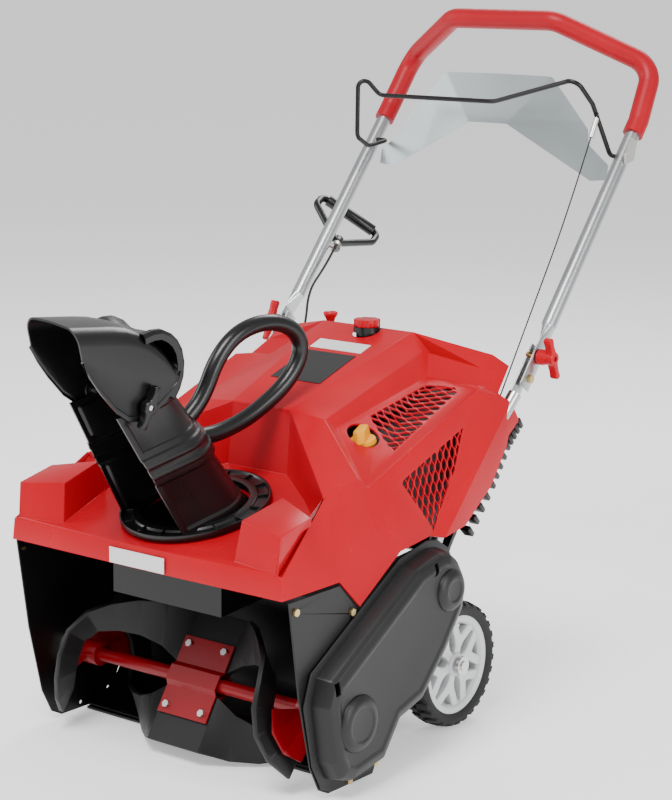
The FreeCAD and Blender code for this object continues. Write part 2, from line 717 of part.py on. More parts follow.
def rear_cover():
    """The ribbed guard that closes the back of the engine bay."""
    outline = [(150, 470), (168, 462), (96, 372), (20, 268), (14, 273), (90, 376), (156, 460),
               (148, 464)]
    body = body_at("rear_cover", 0, 0, 0)
    pad(body, draw(sketch_on(body, "YZ"), outline), 416, midplane=True)
    for i in range(4):
        foot = Vector(26 + 17 * i, 276 + 23.3 * i, 0)
        along = Vector(0.59, 0.807, 0)
        out = Vector(0.807, -0.59, 0)
        corners = [foot - out * 2, foot + along * 9 - out * 2, foot + along * 9 + out * 9,
                   foot + out * 9]
        pad(body, draw(sketch_on(body, "YZ"), [(c.x, c.y) for c in corners]), 404, midplane=True)
    upright = [(-200, 466), (200, 466), (200, 550), (110, 570), (-110, 570), (-200, 550)]
    pad(body, draw(sketch_on(body, "XZ", -151), upright), 3)
    rope_hole = draw_circle(sketch_on(body, "XZ", -150), -196, 545, 13)
    pocket(body, rope_hole, 14, midplane=True)
    node(body, "rear_cover")


def hood_fittings():
    """The choke knob, the pull knob, the filler cap's neighbours and the blank labels."""
    body = body_at("choke_knob", 172, -158, 478)
    pad(body, draw_circle(sketch_on(body, "XY"), 0, 0, 16), 14)
    pad(body, draw(sketch_on(body, "XY", 12), [(-16, -5), (16, -6), (16, 6), (-16, 5)]), 16)
    node(body, "choke_knob")
    stem = Part.makeCylinder(6, 34, Vector(-100, 105, 570))
    bell = Part.makeCone(6, 14, 16, Vector(-100, 105, 604))
    crown = Part.makeCylinder(14, 4, Vector(-100, 105, 620))
    shaped("key_knob", stem.multiFuse([bell, crown]))
    node(block("front_label", (110, 0.8, 24), -59, -478.9, 318.5), "front_label")


# ---------------------------------------------------------------- chute

def chute_turn():
    """The chute frame: Z along the turntable axis, -Y the way it throws."""
    tilt = Rotation(X_AXIS, number("dim.deck_slope"))
    return tilt.multiply(Rotation(Z_AXIS, number("dim.chute_turn")))


def chute_place(obj):
    obj.Placement = Placement(Vector(), chute_turn())
    bind(obj, "Placement.Base.x", 0)
    bind(obj, "Placement.Base.y", "dim.axle_y + dim.chute_y")
    bind(obj, "Placement.Base.z", "dim.chute_z")
    return obj


def channel(half, front, back, height, wall):
    """A U-shaped wire at a height: open at the front, rounded at the back."""
    mid = back + half
    at = [Vector(half, -front, height), Vector(half, -mid, height), Vector(0, -back, height),
          Vector(-half, -mid, height), Vector(-half, -front, height)]
    inside = half - wall
    low = [Vector(-inside, -front, height), Vector(-inside, -mid, height),
           Vector(0, -back - wall, height), Vector(inside, -mid, height),
           Vector(inside, -front, height)]
    return Part.Wire([
        Part.LineSegment(at[0], at[1]).toShape(), Part.Arc(at[1], at[2], at[3]).toShape(),
        Part.LineSegment(at[3], at[4]).toShape(), Part.LineSegment(at[4], low[0]).toShape(),
        Part.LineSegment(low[0], low[1]).toShape(), Part.Arc(low[1], low[2], low[3]).toShape(),
        Part.LineSegment(low[3], low[4]).toShape(), Part.LineSegment(low[4], at[0]).toShape(),
    ])


def chute():
    """The turning spout: base ring, tapering channel, stiffening band and loop handle."""
    wall = number("dim.chute_wall")
    base = Part.makeCylinder(number("dim.ring_radius"), 6, Vector(0, 0, 3))
    collar = Part.makeCylinder(number("dim.duct_radius") + 3, 18, Vector(0, 0, -6))
    hole = Part.makeCylinder(number("dim.duct_radius"), 60, Vector(0, 0, -30))
    spout = Part.makeLoft([channel(78, 82, -75, 3, wall), channel(60, 148, 17, 216, wall)],
                          True, True)
    band = Part.makeLoft([channel(74.5, 113, -30, 100, 8), channel(71, 126, -15, 140, 8)],
                         True, True)
    room = Part.makeLoft([channel_room(75, 90, -72, 2), channel_room(57, 156, 20, 217)],
                         True, True)
    forward, up = number("dim.pivot_forward"), number("dim.pivot_up")
    ears = [Part.makeCylinder(15, 4, Vector(x, -forward, up), X_AXIS) for x in (-60.5, 56.5)]
    pin = Part.makeCylinder(4.1, 200, Vector(-100, -forward, up), X_AXIS)
    ribs = [Part.makeBox(3, 24, 5, Vector(-1.5, 88, 8.5)).rotated(Vector(), Z_AXIS, 22.5 * i)
            for i in range(5, 12)]
    loop = [(-20, 146), (-64, 190), (-110, 222), (-165, 236), (-214, 220), (-246, 172),
            (-206, 124), (-149, 103), (-95, 98), (-38, 106)]
    points = [Vector(0, -f, n) for f, n in loop]
    bar = swept(points, [40, 50, 50, 45, 36, 40, 70, 60], 13.5)
    shell = base.fuse(collar).cut(hole).multiFuse([spout, band.cut(room), bar.cut(room)] + ears)
    body = doc.addObject("Part::Feature", "chute")
    body.Shape = shell.multiFuse(ribs).cut(pin).removeSplitter()
    node(chute_place(body), "chute")


def channel_room(half, front, back, height):
    """The closed outline inside a channel at a height."""
    mid = back + half
    at = [Vector(half, -front, height), Vector(half, -mid, height), Vector(0, -back, height),
          Vector(-half, -mid, height), Vector(-half, -front, height)]
    return Part.Wire([
        Part.LineSegment(at[0], at[1]).toShape(), Part.Arc(at[1], at[2], at[3]).toShape(),
        Part.LineSegment(at[3], at[4]).toShape(), Part.LineSegment(at[4], at[0]).toShape(),
    ])


def deflector():
    """The hinged cap on the spout, its hinge bolts and its wing knob."""
    body = chute_place(doc.addObject("PartDesign::Body", "deflector"))
    cheek = [(-190, 372), (-190, 318), (-176, 272), (-150, 228), (-118, 199), (-96, 188),
             (-72, 192), (-38, 217), (-20, 250), (-10, 286), (-22, 306), (-66, 322)]
    pad(body, draw(sketch_on(body, "YZ"), cheek), 134, midplane=True)
    room = [(-200, 380), (-200, 180), (-60, 180), (-24, 217), (-21, 250), (-14, 284), (-25, 302),
            (-68, 318), (-190, 368.5), (-200, 372)]
    pocket(body, draw(sketch_on(body, "YZ"), room), 126, midplane=True)
    hinge = draw_circle(sketch_on(body, "YZ"), "-dim.pivot_forward", "dim.pivot_up", 4.1)
    pocket(body, hinge, 200, midplane=True)
    node(body, "deflector")
    turn = chute_turn()
    centre = turn.multVec(Vector(0, -number("dim.pivot_forward"), number("dim.pivot_up")))
    origin = Vector(0, number("dim.axle_y + dim.chute_y"), number("dim.chute_z")) + centre
    left = bolt(4, 22, 7, 5)
    left.Placement = Placement(Vector(-74, 0, 0), ALONG_X)
    knob_pin = Part.makeCylinder(4, 28, Vector(53, 0, 0), X_AXIS)
    bolts = doc.addObject("Part::Feature", "deflector_bolts")
    bolts.Shape = Part.makeCompound([left, knob_pin])
    bolts.Placement = Placement(origin, turn)
    node(bolts, "deflector_bolts")
    wing = Part.makeBox(7, 14, 62, Vector(76, -7, -31))
    hub = Part.makeCylinder(11, 16, Vector(67.8, 0, 0), X_AXIS)
    bore = Part.makeCylinder(4.1, 40, Vector(60, 0, 0), X_AXIS)
    knob = doc.addObject("Part::Feature", "deflector_knob")
    knob.Shape = hub.fuse(wing).cut(bore)
    knob.Placement = Placement(origin, turn.multiply(Rotation(X_AXIS, 30)))
    node(knob, "deflector_knob")


# ---------------------------------------------------------------- handle

def along_tube(distance):
    """A point on the handle's side line, a distance up from the fold bolt: (y, z)."""
    slope = math.radians(50.2)
    return (number("dim.fold_y") + distance * math.cos(slope),
            number("dim.fold_z") + distance * math.sin(slope))


def handle_points():
    """Corner points of the upper handle on the right, from the flattened foot to the bar."""
    x = number("dim.tube_x")
    low = along_tube(100)
    high = along_tube(515)
    return [Vector(x, *low), Vector(x, *high), Vector(253, 542, 1032), Vector(106, 459, 1108)]


def both_sides(points):
    return points + [Vector(-p.x, p.y, p.z) for p in reversed(points)]


def flat_foot(x, near, far, half_height, half_width):
    """The pressed end of a tube: an extruded oval bar between two distances."""
    start, end = Vector(x, *along_tube(near)), Vector(x, *along_tube(far))
    heading = (end - start).normalize()
    across = Vector(0, -heading.z, heading.y)
    oval = Part.Ellipse(start + across * half_height, start + X_AXIS * half_width, start)
    return Part.Face(Part.Wire([oval.toShape()])).extrude(end - start)


def handles():
    radius = number("dim.tube_radius")
    points = both_sides(handle_points())
    bends = [60, 42, 42, 42, 42, 60]
    loop = swept(points, bends, radius)
    feet = []
    rise = Vector(0, *along_tube(1)) - Vector(0, *along_tube(0))
    for sign in (1, -1):
        x = sign * number("dim.tube_x")
        start = Vector(x, *along_tube(100))
        foot_end = Vector(x + sign * 4, *along_tube(68))
        heading = (start - foot_end).normalize()
        across = Vector(0, -heading.z, heading.y)
        oval = Part.Ellipse(foot_end + across * 15, foot_end + X_AXIS * 3, foot_end)
        wide = Part.Wire([oval.toShape()])
        round_end = Part.Wire([Part.makeCircle(radius - 0.3, start + rise * 6, rise)])
        feet.append(Part.makeLoft([wide, round_end], True, False))
        feet.append(flat_foot(x + sign * 4, -16, 76, 14.9, 2.9))
    shape = loop.multiFuse(feet)
    holes = []
    for distance, size in ((0, 4.1), (42, 4.1)):
        y, z = along_tube(distance)
        holes.append(Part.makeCylinder(size, 700, Vector(-350, y, z), X_AXIS))
    bail_hole = Part.makeCylinder(number("dim.bail_wire") + 0.3, 520,
                                  Vector(-260, number("dim.bail_y"), number("dim.bail_z")), X_AXIS)
    shaped("upper_handle", shape.cut(holes[0].fuse(holes[1])).cut(bail_hole))
    slot = Part.makeBox(700, 13.4, 30, Vector(-350, -9.2, 0))
    slot.Placement = Placement(Vector(0, *along_tube(42)),
                               Rotation(Z_AXIS, Vector(0, -rise.z, rise.y)))
    for side, sign in (("left", -1), ("right", 1)):
        x = sign * number("dim.tube_x") - sign * 7
        foot = flat_foot(x, -32, 58, 14, 3)
        shank = swept([Vector(x, *along_tube(-30)), Vector(sign * 248, 104, 484),
                       Vector(sign * 236, 40, 400), Vector(sign * 198, 0, 300),
                       Vector(sign * 198, 0, 214)], [60, 60, 60], radius - 1.5)
        shaped(f"lower_handle_{side}",
               foot.fuse(shank).cut(holes[0].fuse(holes[1])).cut(slot))


def grip():
    points = handle_points()
    points[0] = Vector(number("dim.tube_x"), *along_tube(505 - 18))
    path = both_sides(points)
    bends = [8, 42, 42, 42, 42, 8]
    outside = swept(path, bends, 17.5)
    inside = swept(both_sides(handle_points()), [60, 42, 42, 42, 42, 60],
                   number("dim.tube_radius"))
    shaped("grip", outside.cut(inside))


def handle_hardware():
    """Fold bolts, clamp studs and the wing knobs that lock the handle up."""
    y, z = along_tube(0)
    x = number("dim.tube_x")
    solids = []
    stud_y, stud_z = along_tube(42)
    for sign in (1, -1):
        one = bolt(4, 18, 7, 5)
        one.Placement = Placement(Vector(sign * (x + 7.2), y, z),
                                  Rotation(Y_AXIS, -90 * sign))
        solids.append(one)
        stud = bolt(4, 38, 7, 4)
        stud.Placement = Placement(Vector(sign * (x - 10.4), stud_y, stud_z),
                                   Rotation(Y_AXIS, 90 * sign))
        solids.append(stud)
    shaped("handle_bolts", Part.makeCompound(solids))
    for side, sign in (("left", -1), ("right", 1)):
        hub = Part.makeCylinder(13, 34, Vector(x + 7.6, 0, 0), X_AXIS)
        wing = Part.makeBox(16, 18, 74, Vector(x + 34, -9, -37))
        bore = Part.makeCylinder(4.1, 60, Vector(x, 0, 0), X_AXIS)
        knob = hub.fuse(wing).cut(bore)
        if sign < 0:
            knob = knob.mirror(Vector(), X_AXIS)
        knob.rotate(Vector(), X_AXIS, -20)
        shaped(f"handle_knob_{side}", knob, y=stud_y, z=stud_z)


def control_panel():
    """The bent sheet between the tubes, leaning with them."""
    lean = 12.9
    half = [(-40, 87), (40, 87), (208, 0), (238, 4), (238, 30), (196, 60), (189, 83), (111, 170),
            (-111, 170), (-189, 83), (-196, 60), (-238, 30), (-238, 4), (-208, 0)]
    body = body_at("control_panel", 0, 411, 840, Rotation(X_AXIS, -lean))
    pad(body, draw(sketch_on(body, "XZ"), half), 2)
    for sign in (1, -1):
        tab = [(sign * 234, 4), (sign * 249, 4), (sign * 249, 30), (sign * 234, 30)]
        pad(body, draw(sketch_on(body, "XZ"), tab), 2)
    node(body, "control_panel")


def bail():
    """The wire bail in front of the panel; both ends turn in the tubes."""
    y, z = number("dim.bail_y"), number("dim.bail_z")
    x = number("dim.tube_x")
    points = [Vector(-x + 5, y, z), Vector(-231, y, z), Vector(-227, 372, 880), Vector(-226, 338, 898),
              Vector(-226, 339, 1017), Vector(-198, 366, 972), Vector(42, 372, 971),
              Vector(226, 339, 1018), Vector(236, 378, 975), Vector(240, y, z),
              Vector(x - 5, y, z)]
    bends = [8, 18, 14, 12, 16, 60, 18, 24, 8]
    shaped("bail", swept(points, bends, number("dim.bail_wire")))
    body = body_at("bail_bracket", 0, "dim.bail_y", "dim.bail_z")
    outline = [(-12, -12), (12, -6), (22, 26), (4, 34), (-16, 6)]
    sketch = draw(sketch_on(body, "YZ", 275), outline)
    pad(body, sketch, 4)
    node(body, "bail_bracket")


def cable():
    """The control cable from the bail down to the belt tensioner."""
    top = Vector(243, 385, 961)
    points = [top, Vector(236, 312, 806), Vector(230, 206, 634), Vector(228, 129, 511),
              Vector(226, 98, 462)]
    bends = [900, 900, 900]
    shaped("control_cable", swept(points, bends, 1.2))
    coil = Part.makeCylinder(4.4, 34, Vector(0, 0, 0))
    hole = Part.makeCylinder(1.6, 34, Vector(0, 0, 0))
    heading = (top - points[1]).normalize()
    spring = coil.cut(hole)
    spring.Placement = Placement(top - heading * 44, Rotation(Z_AXIS, heading))
    shaped("cable_spring", spring)


def starter_grip():
    """The rope's guide behind the left tube, the D-shaped pull grip and the rope."""
    stem = Vector(-247.6, 303.8, 701.1)
    pull = Vector(-45, 102, 44).normalize()
    across = Vector(80, 60, -70)
    across = (across - pull * across.dot(pull)).normalize()
    corners = [(-3, 18), (-66, 88), (-61, 122), (61, 122), (58, 88), (3, 18)]
    arms = swept([stem + across * a + pull * b for a, b in corners], [20, 14, 14, 20], 6.5)
    bar = Part.makeCylinder(10.5, 100, stem + across * -50 + pull * 122, across)
    socket = Part.makeCylinder(9, 20, stem + pull * 10, pull)
    shaped("starter_grip", arms.multiFuse([bar, socket]))
    tube_axis = Vector(0, *along_tube(1)) - Vector(0, *along_tube(0))
    tube_foot = Vector(-number("dim.tube_x"), *along_tube(0))
    tube_foot = tube_foot + tube_axis * (stem - tube_foot).dot(tube_axis)
    outward = (stem - tube_foot).normalize()
    bracket = Part.makeCylinder(7, 9, tube_foot + outward * 9, outward)
    eye = Part.makeCylinder(3, 60, stem - pull * 30, pull)
    shaped("rope_guide", Part.makeCylinder(10, 9, stem, pull).fuse(bracket).cut(eye))
    rope = [stem + pull * 9.7, stem - pull * 6, Vector(-238, 262, 668), Vector(-204, 176, 640),
            Vector(-198, 168, 585), Vector(-190, 120, 480), Vector(-160, 0, 360)]
    shaped("starter_rope", swept(rope, [8, 40, 40, 60, 90], 2.2))


def check_document():
    """Stop if any object failed, or any sub-part is empty or invalid."""
    for obj in doc.Objects:
        if "Invalid" in obj.State or "Error" in obj.State:
            raise ValueError(f"{obj.Name} failed: {obj.State}")
    broken = [obj.Label for obj in NODES if obj.Shape.isNull() or not obj.Shape.isValid()]
    if broken:
        raise ValueError(f"no valid shape: {broken}")


def main():
    for make in (side_plates, auger_housing, discharge_duct, scraper_bar, engine_frame, belt_cover,
                 chassis_bolts, bearings, wheels, auger_steel, auger_rubber, auger_ends,
                 auger_bolts, belt_drive, drive_belt, idler, engine, recoil_starter, hood,
                 rear_cover, hood_fittings, chute, deflector, handles, grip, handle_hardware,
                 control_panel, bail, cable, starter_grip):
        make()
        doc.recompute()
    check_document()
    os.makedirs("parts", exist_ok=True)
    for obj in NODES:
        obj.Shape.exportStep(f"parts/{obj.Label}.step")
        box = obj.Shape.BoundBox
        print(f"{obj.Label:22s} solids {len(obj.Shape.Solids)}  "
              f"x {box.XMin:7.1f} {box.XMax:7.1f}  y {box.YMin:7.1f} {box.YMax:7.1f}  "
              f"z {box.ZMin:7.1f} {box.ZMax:7.1f}")


main()
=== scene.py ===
"""Walk-behind snow thrower: moulded shells, rubber and metal over the CAD frame.

Lengths in the outlines are millimetres, with y measured from the wheel axle line;
at() turns them into metres in the row frame.
"""
import math

import bmesh
import bpy
from mathutils import Matrix, Vector


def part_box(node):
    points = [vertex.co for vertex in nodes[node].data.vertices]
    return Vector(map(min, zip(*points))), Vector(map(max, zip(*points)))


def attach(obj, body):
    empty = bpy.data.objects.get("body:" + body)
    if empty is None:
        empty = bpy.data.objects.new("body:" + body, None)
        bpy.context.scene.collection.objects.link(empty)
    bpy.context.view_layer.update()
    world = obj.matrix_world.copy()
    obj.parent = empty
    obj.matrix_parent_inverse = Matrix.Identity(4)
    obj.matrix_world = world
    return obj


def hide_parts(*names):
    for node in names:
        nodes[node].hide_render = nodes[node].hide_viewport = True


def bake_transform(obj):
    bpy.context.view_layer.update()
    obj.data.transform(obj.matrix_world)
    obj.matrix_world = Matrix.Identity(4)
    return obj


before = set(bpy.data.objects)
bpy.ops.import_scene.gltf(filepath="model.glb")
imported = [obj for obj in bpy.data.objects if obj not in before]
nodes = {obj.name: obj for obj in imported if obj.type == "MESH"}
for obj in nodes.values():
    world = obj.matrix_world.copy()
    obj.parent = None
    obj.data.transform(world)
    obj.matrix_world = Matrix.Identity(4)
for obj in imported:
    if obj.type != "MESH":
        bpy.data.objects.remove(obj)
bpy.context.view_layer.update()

MM = 0.001


def middle(name):
    """The middle of a CAD node's box."""
    low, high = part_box(name)
    return (Vector(low) + Vector(high)) / 2


AXLE_Y = middle("axle").y
PLATE_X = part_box("side_plate_right")[1][0] / MM


def at(x, y, z):
    """A point given in millimetres, with y from the axle line, in the row frame."""
    return Vector((x * MM, y * MM + AXLE_Y, z * MM))


# ---------------------------------------------------------------- materials

RELIEF_DEPTH = 0.4 * MM
BROAD_SCALE = 9.0


def surface(name, colour, rough, metal=0.0, grain=400.0, bump=0.05, mottle=0.12,
            stretch=(1, 1, 1), specular=0.5):
    """A principled surface whose colour, roughness and relief all vary a little."""
    mat = bpy.data.materials.new(name)
    mat.use_nodes = True
    tree = mat.node_tree
    shader = tree.nodes["Principled BSDF"]
    shader.inputs["Metallic"].default_value = metal
    shader.inputs["Specular IOR Level"].default_value = specular
    where = tree.nodes.new("ShaderNodeTexCoord")
    mapping = tree.nodes.new("ShaderNodeMapping")
    mapping.inputs["Scale"].default_value = stretch
    tree.links.new(where.outputs["Object"], mapping.inputs["Vector"])

    def noise(scale, detail):
        made = tree.nodes.new("ShaderNodeTexNoise")
        made.inputs["Scale"].default_value = scale
        made.inputs["Detail"].default_value = detail
        tree.links.new(mapping.outputs["Vector"], made.inputs["Vector"])
        return made

    broad, fine = noise(BROAD_SCALE, 4.0), noise(grain, 2.0)
    ramp = tree.nodes.new("ShaderNodeValToRGB")
    ramp.color_ramp.elements[0].position = 0.3
    ramp.color_ramp.elements[1].position = 0.75
    ramp.color_ramp.elements[0].color = [c * (1 - mottle) for c in colour] + [1]
    ramp.color_ramp.elements[1].color = [min(1, c * (1 + mottle)) for c in colour] + [1]
    tree.links.new(broad.outputs["Fac"], ramp.inputs["Fac"])
    tree.links.new(ramp.outputs["Color"], shader.inputs["Base Color"])
    spread = tree.nodes.new("ShaderNodeMapRange")
    spread.inputs["To Min"].default_value = rough * 0.8
    spread.inputs["To Max"].default_value = min(1.0, rough * 1.25)
    tree.links.new(broad.outputs["Fac"], spread.inputs["Value"])
    tree.links.new(spread.outputs["Result"], shader.inputs["Roughness"])
    relief = tree.nodes.new("ShaderNodeBump")
    relief.inputs["Strength"].default_value = bump
    relief.inputs["Distance"].default_value = RELIEF_DEPTH
    tree.links.new(fine.outputs["Fac"], relief.inputs["Height"])
    tree.links.new(relief.outputs["Normal"], shader.inputs["Normal"])
    return mat


RED = surface("red_moulded", (0.46, 0.0003, 0.010), 0.25, grain=260, bump=0.04, mottle=0.05,
              specular=0.2)
RED_PAINT = surface("red_painted", (0.22, 0.0005, 0.005), 0.3, grain=180, bump=0.06, specular=0.35)
RED_FOAM = surface("red_foam", (0.36, 0.0004, 0.009), 0.4, grain=900, bump=0.22, mottle=0.07,
                   specular=0.25)
BLACK = surface("black_moulded", (0.0035, 0.0035, 0.004), 0.28, grain=700, bump=0.12, mottle=0.2,
                specular=0.45)
BLACK_GRAIN = surface("black_grained", (0.006, 0.006, 0.0065), 0.42, grain=1100, bump=0.35,
                      mottle=0.15, specular=0.4)
BLACK_PAINT = surface("black_painted", (0.0035, 0.0035, 0.004), 0.3, grain=300, bump=0.08,
                      mottle=0.2, specular=0.35)
RUBBER = surface("rubber", (0.005, 0.005, 0.0055), 0.48, grain=500, bump=0.3, mottle=0.25,
                 specular=0.35)
TYRE = surface("tyre_rubber", (0.010, 0.010, 0.0105), 0.75, grain=800, bump=0.4, mottle=0.3)
RIM = surface("rim_silver", (0.58, 0.59, 0.60), 0.34, metal=0.1, grain=500, bump=0.05, mottle=0.04)
TUBE = surface("tube_zinc", (0.50, 0.51, 0.52), 0.3, metal=1.0, grain=160, bump=0.05,
               mottle=0.06, stretch=(6, 1, 1))
SHEET = surface("silver_sheet", (0.36, 0.40, 0.41), 0.34, metal=0.75, grain=600, bump=0.04,
                mottle=0.03)
ZINC = surface("zinc", (0.62, 0.62, 0.60), 0.3, metal=1.0, grain=500, bump=0.08)
GOLD = surface("gold_zinc", (0.62, 0.47, 0.22), 0.32, metal=1.0, grain=500, bump=0.08, mottle=0.2)
CASTING = surface("casting", (0.20, 0.20, 0.21), 0.55, metal=0.7, grain=350, bump=0.4)
YELLOW = surface("yellow_moulded", (0.80, 0.33, 0.0), 0.42, grain=300, bump=0.05,
                 mottle=0.06, specular=0.15)
WHITE = surface("white_label", (0.72, 0.72, 0.72), 0.35, grain=300, bump=0.02, mottle=0.02)
DARK_LABEL = surface("dark_label", (0.006, 0.006, 0.007), 0.3, grain=300, bump=0.02, mottle=0.1)
ROPE = surface("braided_cord", (0.015, 0.015, 0.015), 0.8, grain=1500, bump=0.5)


# ---------------------------------------------------------------- mesh tools

def finished(obj, mat, body, replaced=(), sharp=38):
    """Material, shading and the CAD body it rides on; a blended piece names none."""
    obj.data.materials.clear()
    obj.data.materials.append(mat)
    if obj.type == "MESH":
        for face in obj.data.polygons:
            face.use_smooth = True
        obj.data.set_sharp_from_angle(angle=math.radians(sharp))
    if body:
        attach(obj, body)
    if replaced:
        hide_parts(*replaced)
    return obj


def solid(name, verts, faces, bevel=0.0, segments=3, thickness=0.0, angle=20, cutters=(),
          even=False):
    """A mesh object with its edges rounded, its sheet thickened and its openings cut."""
    mesh = bpy.data.meshes.new(name)
    mesh.from_pydata([tuple(v) for v in verts], [], faces)
    made = bmesh.new()
    made.from_mesh(mesh)
    bmesh.ops.remove_doubles(made, verts=made.verts, dist=0.00005)
    bmesh.ops.recalc_face_normals(made, faces=made.faces)
    made.to_mesh(mesh)
    made.free()
    obj = bpy.data.objects.new(name, mesh)
    bpy.context.scene.collection.objects.link(obj)
    if bevel:
        soft = obj.modifiers.new("round", "BEVEL")
        soft.width = bevel * MM
        soft.segments = segments
        soft.limit_method = "ANGLE"
        soft.angle_limit = math.radians(angle)
        soft.miter_outer = "MITER_ARC"
    if thickness:
        wall = obj.modifiers.new("wall", "SOLIDIFY")
        wall.thickness = abs(thickness) * MM
        wall.offset = -1 if thickness > 0 else 1
        wall.use_even_offset = even
    for cutter in cutters:
        hole = obj.modifiers.new("hole", "BOOLEAN")
        hole.operation = "DIFFERENCE"
        hole.solver = "EXACT"
        hole.object = cutter
    if bevel or thickness or cutters:
        bake(obj)
    for cutter in cutters:
        bpy.data.objects.remove(cutter)
    return obj


def bake(obj):
    """Apply the modifiers to the mesh."""
    bpy.context.view_layer.update()
    graph = bpy.context.evaluated_depsgraph_get()
    baked = bpy.data.meshes.new_from_object(obj.evaluated_get(graph))
    obj.modifiers.clear()
    obj.data = baked


def loft(rows, wrap=False, capped=False):
    """Quads between rows of points; wrap closes each row, capped closes both ends."""
    width = len(rows[0])
    verts = [point for row in rows for point in row]
    faces = []
    for i in range(len(rows) - 1):
        for j in range(width if wrap else width - 1):
            k = (j + 1) % width
            faces.append((i * width + j, i * width + k, (i + 1) * width + k, (i + 1) * width + j))
    if capped:
        faces.append(tuple(range(width)))
        faces.append(tuple((len(rows) - 1) * width + j for j in range(width)))
    return verts, faces


def lathe(name, profile, origin, axis, steps=48, **options):
    """A turned solid: profile is (distance along the axis, radius) in millimetres."""
    axis = Vector(axis).normalized()
    side = axis.orthogonal().normalized()
    other = axis.cross(side)
    rows = []
    for along, radius in profile:
        centre = origin + axis * along * MM
        rows.append([centre + (side * math.cos(a) + other * math.sin(a)) * radius * MM
                     for a in (2 * math.pi * j / steps for j in range(steps))])
    return solid(name, *loft(rows, wrap=True, capped=True), **options)


def turned(name, profile, origin, axis, mat, body, steps=72,
           bevel=0.8, replaced=()):
    """A turned ring from a closed profile."""
    axis = Vector(axis).normalized()
    side = axis.orthogonal().normalized()
    other = axis.cross(side)
    rows = []
    for along, radius in profile + profile[:1]:
        rows.append([origin
                     + (axis * along + (side * math.cos(a) + other * math.sin(a)) * radius) * MM
                     for a in (2 * math.pi * j / steps for j in range(steps))])
    ring = solid(name, *loft(rows, wrap=True), bevel=bevel, segments=2, angle=25)
    return finished(ring, mat, body, replaced)


def nurbs(name, points, resolution):
    """An object holding one NURBS line through route points."""
    curve = bpy.data.curves.new(name, "CURVE")
    curve.dimensions = "3D"
    spline = curve.splines.new("NURBS")
    spline.points.add(len(points) - 1)
    for target, point in zip(spline.points, points):
        target.co = (*point, 1)
    spline.order_u = 3
    spline.use_endpoint_u = True
    curve.resolution_u = resolution
    return bpy.data.objects.new(name, curve)


def tube(name, points, radius):
    """A round bar along a NURBS line, as a mesh."""
    holder = nurbs(name, points, 10)
    holder.data.bevel_depth = radius * MM
    holder.data.bevel_resolution = 6
    holder.data.use_fill_caps = True
    bpy.context.scene.collection.objects.link(holder)
    bpy.context.view_layer.update()
    mesh = bpy.data.meshes.new_from_object(
        holder.evaluated_get(bpy.context.evaluated_depsgraph_get()))
    bpy.data.objects.remove(holder)
    obj = bpy.data.objects.new(name, mesh)
    bpy.context.scene.collection.objects.link(obj)
    return obj


def prism(outline, push):
    """A closed prism through an outline, from -push to +push."""
    count = len(outline)
    verts = [p - push for p in outline] + [p + push for p in outline]
    faces = [tuple(range(count)), tuple(range(2 * count - 1, count - 1, -1))]
    faces += [(i, i + count, (i + 1) % count + count, (i + 1) % count) for i in range(count)]
    return verts, faces


def joined(parts):
    """Several (verts, faces) lists as one."""
    verts, faces = [], []
    for more_verts, more_faces in parts:
        faces += [tuple(i + len(verts) for i in face) for face in more_faces]
        verts += more_verts
    return verts, faces


def twice_area(outline):
    """Twice the signed area of an outline of (u, v), positive when anticlockwise."""
    return sum(a[0] * b[1] - b[0] * a[1] for a, b in zip(outline, outline[1:] + outline[:1]))


def clipped(outline, border):
    """A convex outline clipped by a convex border, both lists of (u, v)."""
    if twice_area(border) < 0:
        border = border[::-1]
    kept = list(outline)
    for a, b in zip(border, border[1:] + border[:1]):
        source, kept = kept, []
        for p, q in zip(source, source[1:] + source[:1]):
            side_p = (b[0] - a[0]) * (p[1] - a[1]) - (b[1] - a[1]) * (p[0] - a[0])
            side_q = (b[0] - a[0]) * (q[1] - a[1]) - (b[1] - a[1]) * (q[0] - a[0])
            if side_p >= 0:
                kept.append(p)
            if (side_p >= 0) != (side_q >= 0):
                t = side_p / (side_p - side_q)
                kept.append((p[0] + (q[0] - p[0]) * t, p[1] + (q[1] - p[1]) * t))
    return kept


SMALLEST_HOLE = 60      # twice the area in square millimetres


def honeycomb(border, pitch, row, half_long, half_wide):
    """Long six-sided holes in staggered rows inside a border; the long axis is v."""
    low = [min(p[i] for p in border) for i in (0, 1)]
    high = [max(p[i] for p in border) for i in (0, 1)]
    holes = []
    for i in range(int((high[0] - low[0]) / pitch) + 2):
        for j in range(int((high[1] - low[1]) / row) + 2):
            u = low[0] + pitch * i
            v = low[1] + row * (j + 0.5 * (i % 2))
            shape = [(u, v - half_long), (u + half_wide, v - half_long * 0.3),
                     (u + half_wide, v + half_long * 0.3), (u, v + half_long),
                     (u - half_wide, v + half_long * 0.3), (u - half_wide, v - half_long * 0.3)]
            cut = clipped(shape, border)
            if len(cut) > 2 and abs(twice_area(cut)) > SMALLEST_HOLE:
                holes.append(cut)
    return holes


def cutter_of(parts):
    """A hidden object that cuts every (verts, faces) part from a piece."""
    return solid("cutter", *joined(parts))


# ---------------------------------------------------------------- hood

